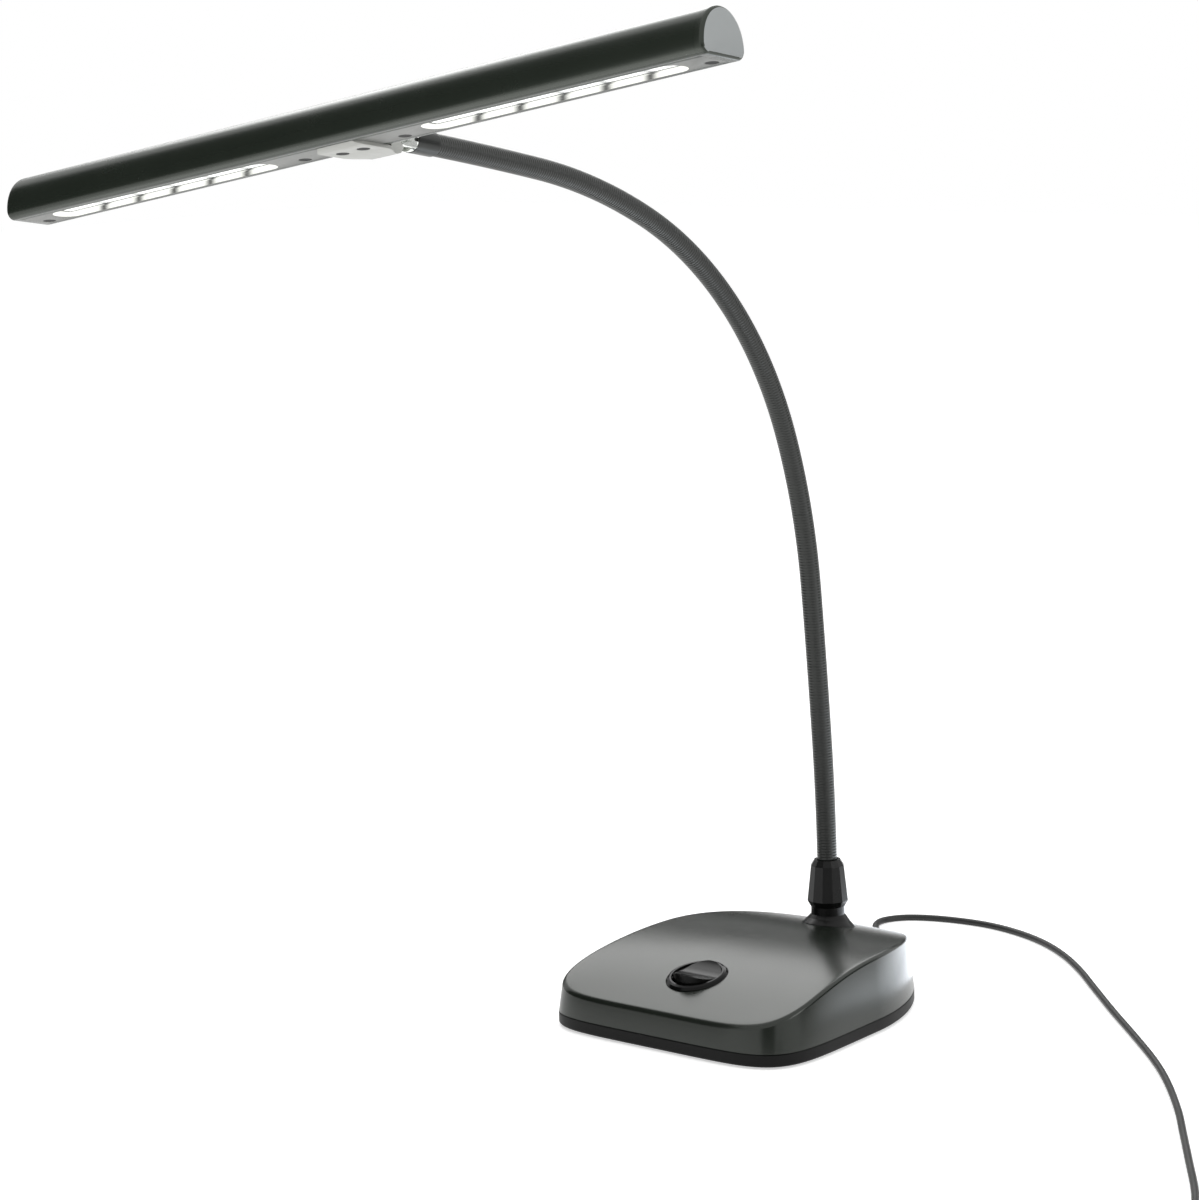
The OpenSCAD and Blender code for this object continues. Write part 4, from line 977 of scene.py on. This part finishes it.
# %% The housing's profile
HEAD_L, HEAD_W, HEAD_H, HEAD_WALL, CAP_T = 402, 26.8, 20.3, 1.5, 5
LIP_H, LIP_W, LIP_FLAT, PLATE_T, PLATE_GAP = 4.3, 3.5, 0.6, 2, 0.1
LEDGE_T, LEDGE_REACH = 1.4, 0.8
HOUSING_L = HEAD_L - 2 * CAP_T
PLATE_HALF = HEAD_W / 2 - LIP_W - LIP_FLAT
LEDGE_IN = PLATE_HALF - LEDGE_REACH
DOME_STEPS, CORNER_STEPS = 96, 12


def dome(half, low, high):
    """Half an ellipse from the front side over the top to the back side."""
    angles = (math.pi * i / DOME_STEPS for i in range(DOME_STEPS + 1))
    return [(half * math.cos(a), low + (high - low) * math.sin(a)) for a in angles]


def lower_corners(half, inset):
    """The rounded lower corners, from the end of the dome under to its start."""
    up = LIP_H - inset
    quarter = [(half - LIP_W * (1 - math.sin(t)), inset + up * (1 - math.cos(t)))
               for t in quarter_turn(CORNER_STEPS)]
    left = [(-y, z) for y, z in reversed(quarter)]
    return left + quarter


def section(inset):
    """The outline of the bar, drawn in by an inset."""
    half = HEAD_W / 2 - inset
    return dome(half, LIP_H, HEAD_H - inset) + lower_corners(half, inset)


def housing_profile():
    """The closed outline of the extrusion: outside, lips, ledges and inside, as one loop."""
    outer = dome(HEAD_W / 2, LIP_H, HEAD_H)
    corner = lower_corners(HEAD_W / 2, 0)
    left, right = corner[:CORNER_STEPS], corner[CORNER_STEPS:]
    ledge_top = max(PLATE_T + LEDGE_T, LIP_H)
    inner = dome(HEAD_W / 2 - HEAD_WALL, ledge_top, HEAD_H - HEAD_WALL)
    slot_side = -PLATE_HALF - PLATE_GAP
    lip_left = [(slot_side, 0), (slot_side, PLATE_T), (-LEDGE_IN, PLATE_T), (-LEDGE_IN, ledge_top)]
    lip_right = [(-y, z) for y, z in reversed(lip_left)]
    return outer + left + lip_left + inner[::-1] + lip_right + right


def make_housing():
    """The profile at both ends, joined."""
    rings = [in_frame(head_frame, [(end * HOUSING_L / 2, y, z) for y, z in housing_profile()])
             for end in (-1, 1)]
    return mesh_from("housing", *loft(rings), smooth_angle=25)


housing = add_piece("housing", make_housing(), "head", "head_housing")
housing.data.materials.append(paint["head_satin"])
print("housing:", HOUSING_L, "mm long,", len(housing_profile()), "points round its profile")

# %% The end caps
CAP_ROUND, CAP_BULGE, CAP_GAP, CAP_STEPS = 1.8, 0.4, 0.05, 8
FACE_RINGS = ((0.85, 0.1), (0.6, 0.24), (0.3, 0.36), (0.05, 0.4))  # share of the outline, bulge
FACE_Z, FLAT_FACE = HEAD_H * 0.42, 0.9


def make_cap(side):
    """A cap with a rounded rim and a faintly domed face."""
    rings = [[(HOUSING_L / 2 + CAP_GAP, y, z) for y, z in section(0)]]
    rim_x = HEAD_L / 2 - CAP_BULGE
    for t in quarter_turn(CAP_STEPS, whole=True):
        outline = section(CAP_ROUND * (1 - math.cos(t)))
        rings.append([(rim_x - CAP_ROUND * (1 - math.sin(t)), y, z) for y, z in outline])
    for share, bulge in FACE_RINGS:
        rings.append([(rim_x + bulge, y * share, FACE_Z + (z - FACE_Z) * share)
                      for y, z in section(CAP_ROUND)])
    mirrored = [in_frame(head_frame, [(side * x, y, z) for x, y, z in ring]) for ring in rings]
    return mesh_from("cap", *loft(mirrored), smooth_angle=50)


def paint_cap(cap, side):
    """The rim is as dark as the housing; only the flat face is lighter, a painted highlight of the
    light that falls on it.
    """
    cap.data.materials.append(paint["head_satin"])
    cap.data.materials.append(paint["cap_face_painted_highlight"])
    outwards = (head_frame.to_3x3() @ Vector((side, 0, 0))).normalized()
    for face in cap.data.polygons:
        face.material_index = int(face.normal.dot(outwards) > FLAT_FACE)


for side, word in ((-1, "left"), (1, "right")):
    cap = add_piece(f"cap_{word}", make_cap(side), "head", f"end_cap_{word}")
    paint_cap(cap, side)
print("two end caps made")

# %% [markdown]
# ## Softened pieces
# Moulded and cast pieces never have knife edges. These take the frame's own shape, join
# its coplanar triangles and round every edge a little. The plate under the head and the
# window covers also get a second material on the walls by the windows: painted light, a
# glow that stands for the light the chips shine on them.

# %% Softened pieces
FLAT_ANGLE, EDGE_ANGLE, ROUND_STEPS = math.radians(0.5), math.radians(32), 3
WALL_LIMIT, COVER_LIMIT, PAST_WINDOW, STEEP = WINDOW_W / 2 + 0.3, 20, 6, 0.5


def softened(node, width, material):
    """A copy of a node with rounded edges, which stands in for it on its body."""
    source = frame["nodes"][node]
    mesh = source.data.copy()
    mesh.materials.clear()
    mesh.materials.append(paint[material])
    tidy = bmesh.new()
    tidy.from_mesh(mesh)
    bmesh.ops.remove_doubles(tidy, verts=tidy.verts, dist=WELD)
    bmesh.ops.dissolve_limit(tidy, angle_limit=FLAT_ANGLE, verts=tidy.verts, edges=tidy.edges)
    tidy.to_mesh(mesh)
    tidy.free()
    piece = add_piece(f"{node}_soft", mesh, body_of_node[node], node)
    piece.matrix_world = source.matrix_world.copy()
    rounding = piece.modifiers.new("rounding", "BEVEL")
    rounding.width, rounding.segments = width * MM, ROUND_STEPS
    rounding.limit_method, rounding.angle_limit = "ANGLE", EDGE_ANGLE
    rounding.use_clamp_overlap = True
    old = piece.data
    piece.data = evaluated_mesh(piece, piece.name)
    piece.modifiers.clear()
    bpy.data.meshes.remove(old)
    shade(piece.data, 40)
    return piece


softened("neck_bracket", 0.8, "bracket_grey")
plate = softened("head_plate", 0.12, "plate_grey")
covers = [softened(f"window_{word}", 0.1, "window_clear")
          for word in ("left", "right")]


def paint_glow_on_walls(piece, half_width):
    """Gives the painted glow, painted light from the chips, to upright faces by the windows, near
    enough to the middle line.
    """
    piece.data.materials.append(paint["painted_wall_glow"])
    to_head, upwards = head_frame.inverted(), head_frame.to_3x3() @ Vector((0, 0, 1))
    low, high = WINDOW_START - PAST_WINDOW, WINDOW_START + WINDOW_L + PAST_WINDOW
    for face in piece.data.polygons:
        centre = to_head @ ((piece.matrix_world @ face.center) / MM)
        upright = abs(face.normal.dot(upwards)) < STEEP
        if low < abs(centre.x) < high and upright and abs(centre.y) < half_width:
            face.material_index = 1
    return sum(face.material_index == 1 for face in piece.data.polygons)


# the plate's window walls and the covers' edges get painted light
lit = [paint_glow_on_walls(plate, WALL_LIMIT)] + [paint_glow_on_walls(cover, COVER_LIMIT) for cover in covers]
print("softened pieces have", lit, "lit faces on the plate and the covers")

# %% [markdown]
# ## Finishes for the pieces that stay
# Many pieces of the frame are already right: plates, screws, pins, boards. They keep
# their shape and only need a finish, and one table says which.

# %% Finishes for the pieces that stay
STAYING = {
    "pad_rubber": ["base_pad"], "plain_steel": ["ballast_plate"], "tray_black": ["board_posts"],
    "screw_bright": ["tray_screws", "ballast_screws", "rocker_pin", "lock_nut", "adapter_pins"],
    "board_green": ["driver_board"], "part_dark": ["driver_parts"],
    "switch_gloss": ["switch_bezel", "rocker"], "turned_brass": ["switch_terminals"],
    "gland_satin": ["neck_flange", "gland_nut"], "neck_dark": ["neck_tip"],
    "grommet_soft": ["cord_grommet", "adapter_relief"], "supply_black": ["adapter_body"],
    "bright_chrome": ["swivel_yoke", "pivot_pin", "pivot_nut"], "bracket_grey": ["mount_block"],
    "screw_dark": ["bracket_screws", "plate_screws"], "tie_strip": ["coil_tie"],
    "board_white": ["led_board_left", "led_board_right"], "wire_red": ["head_wires"],
    "chip_light": ["led_chips_left", "led_chips_right"],
    # the cups take the painted glow that stands for the chips' light on them
    "cups_painted_glow": ["reflector_left", "reflector_right"]}
for name, nodes in STAYING.items():
    for node in nodes:
        materials = frame["nodes"][node].data.materials
        materials.clear()
        materials.append(paint[name])
print("nodes that stay:", sum(map(len, STAYING.values())), "of", len(frame["nodes"]))
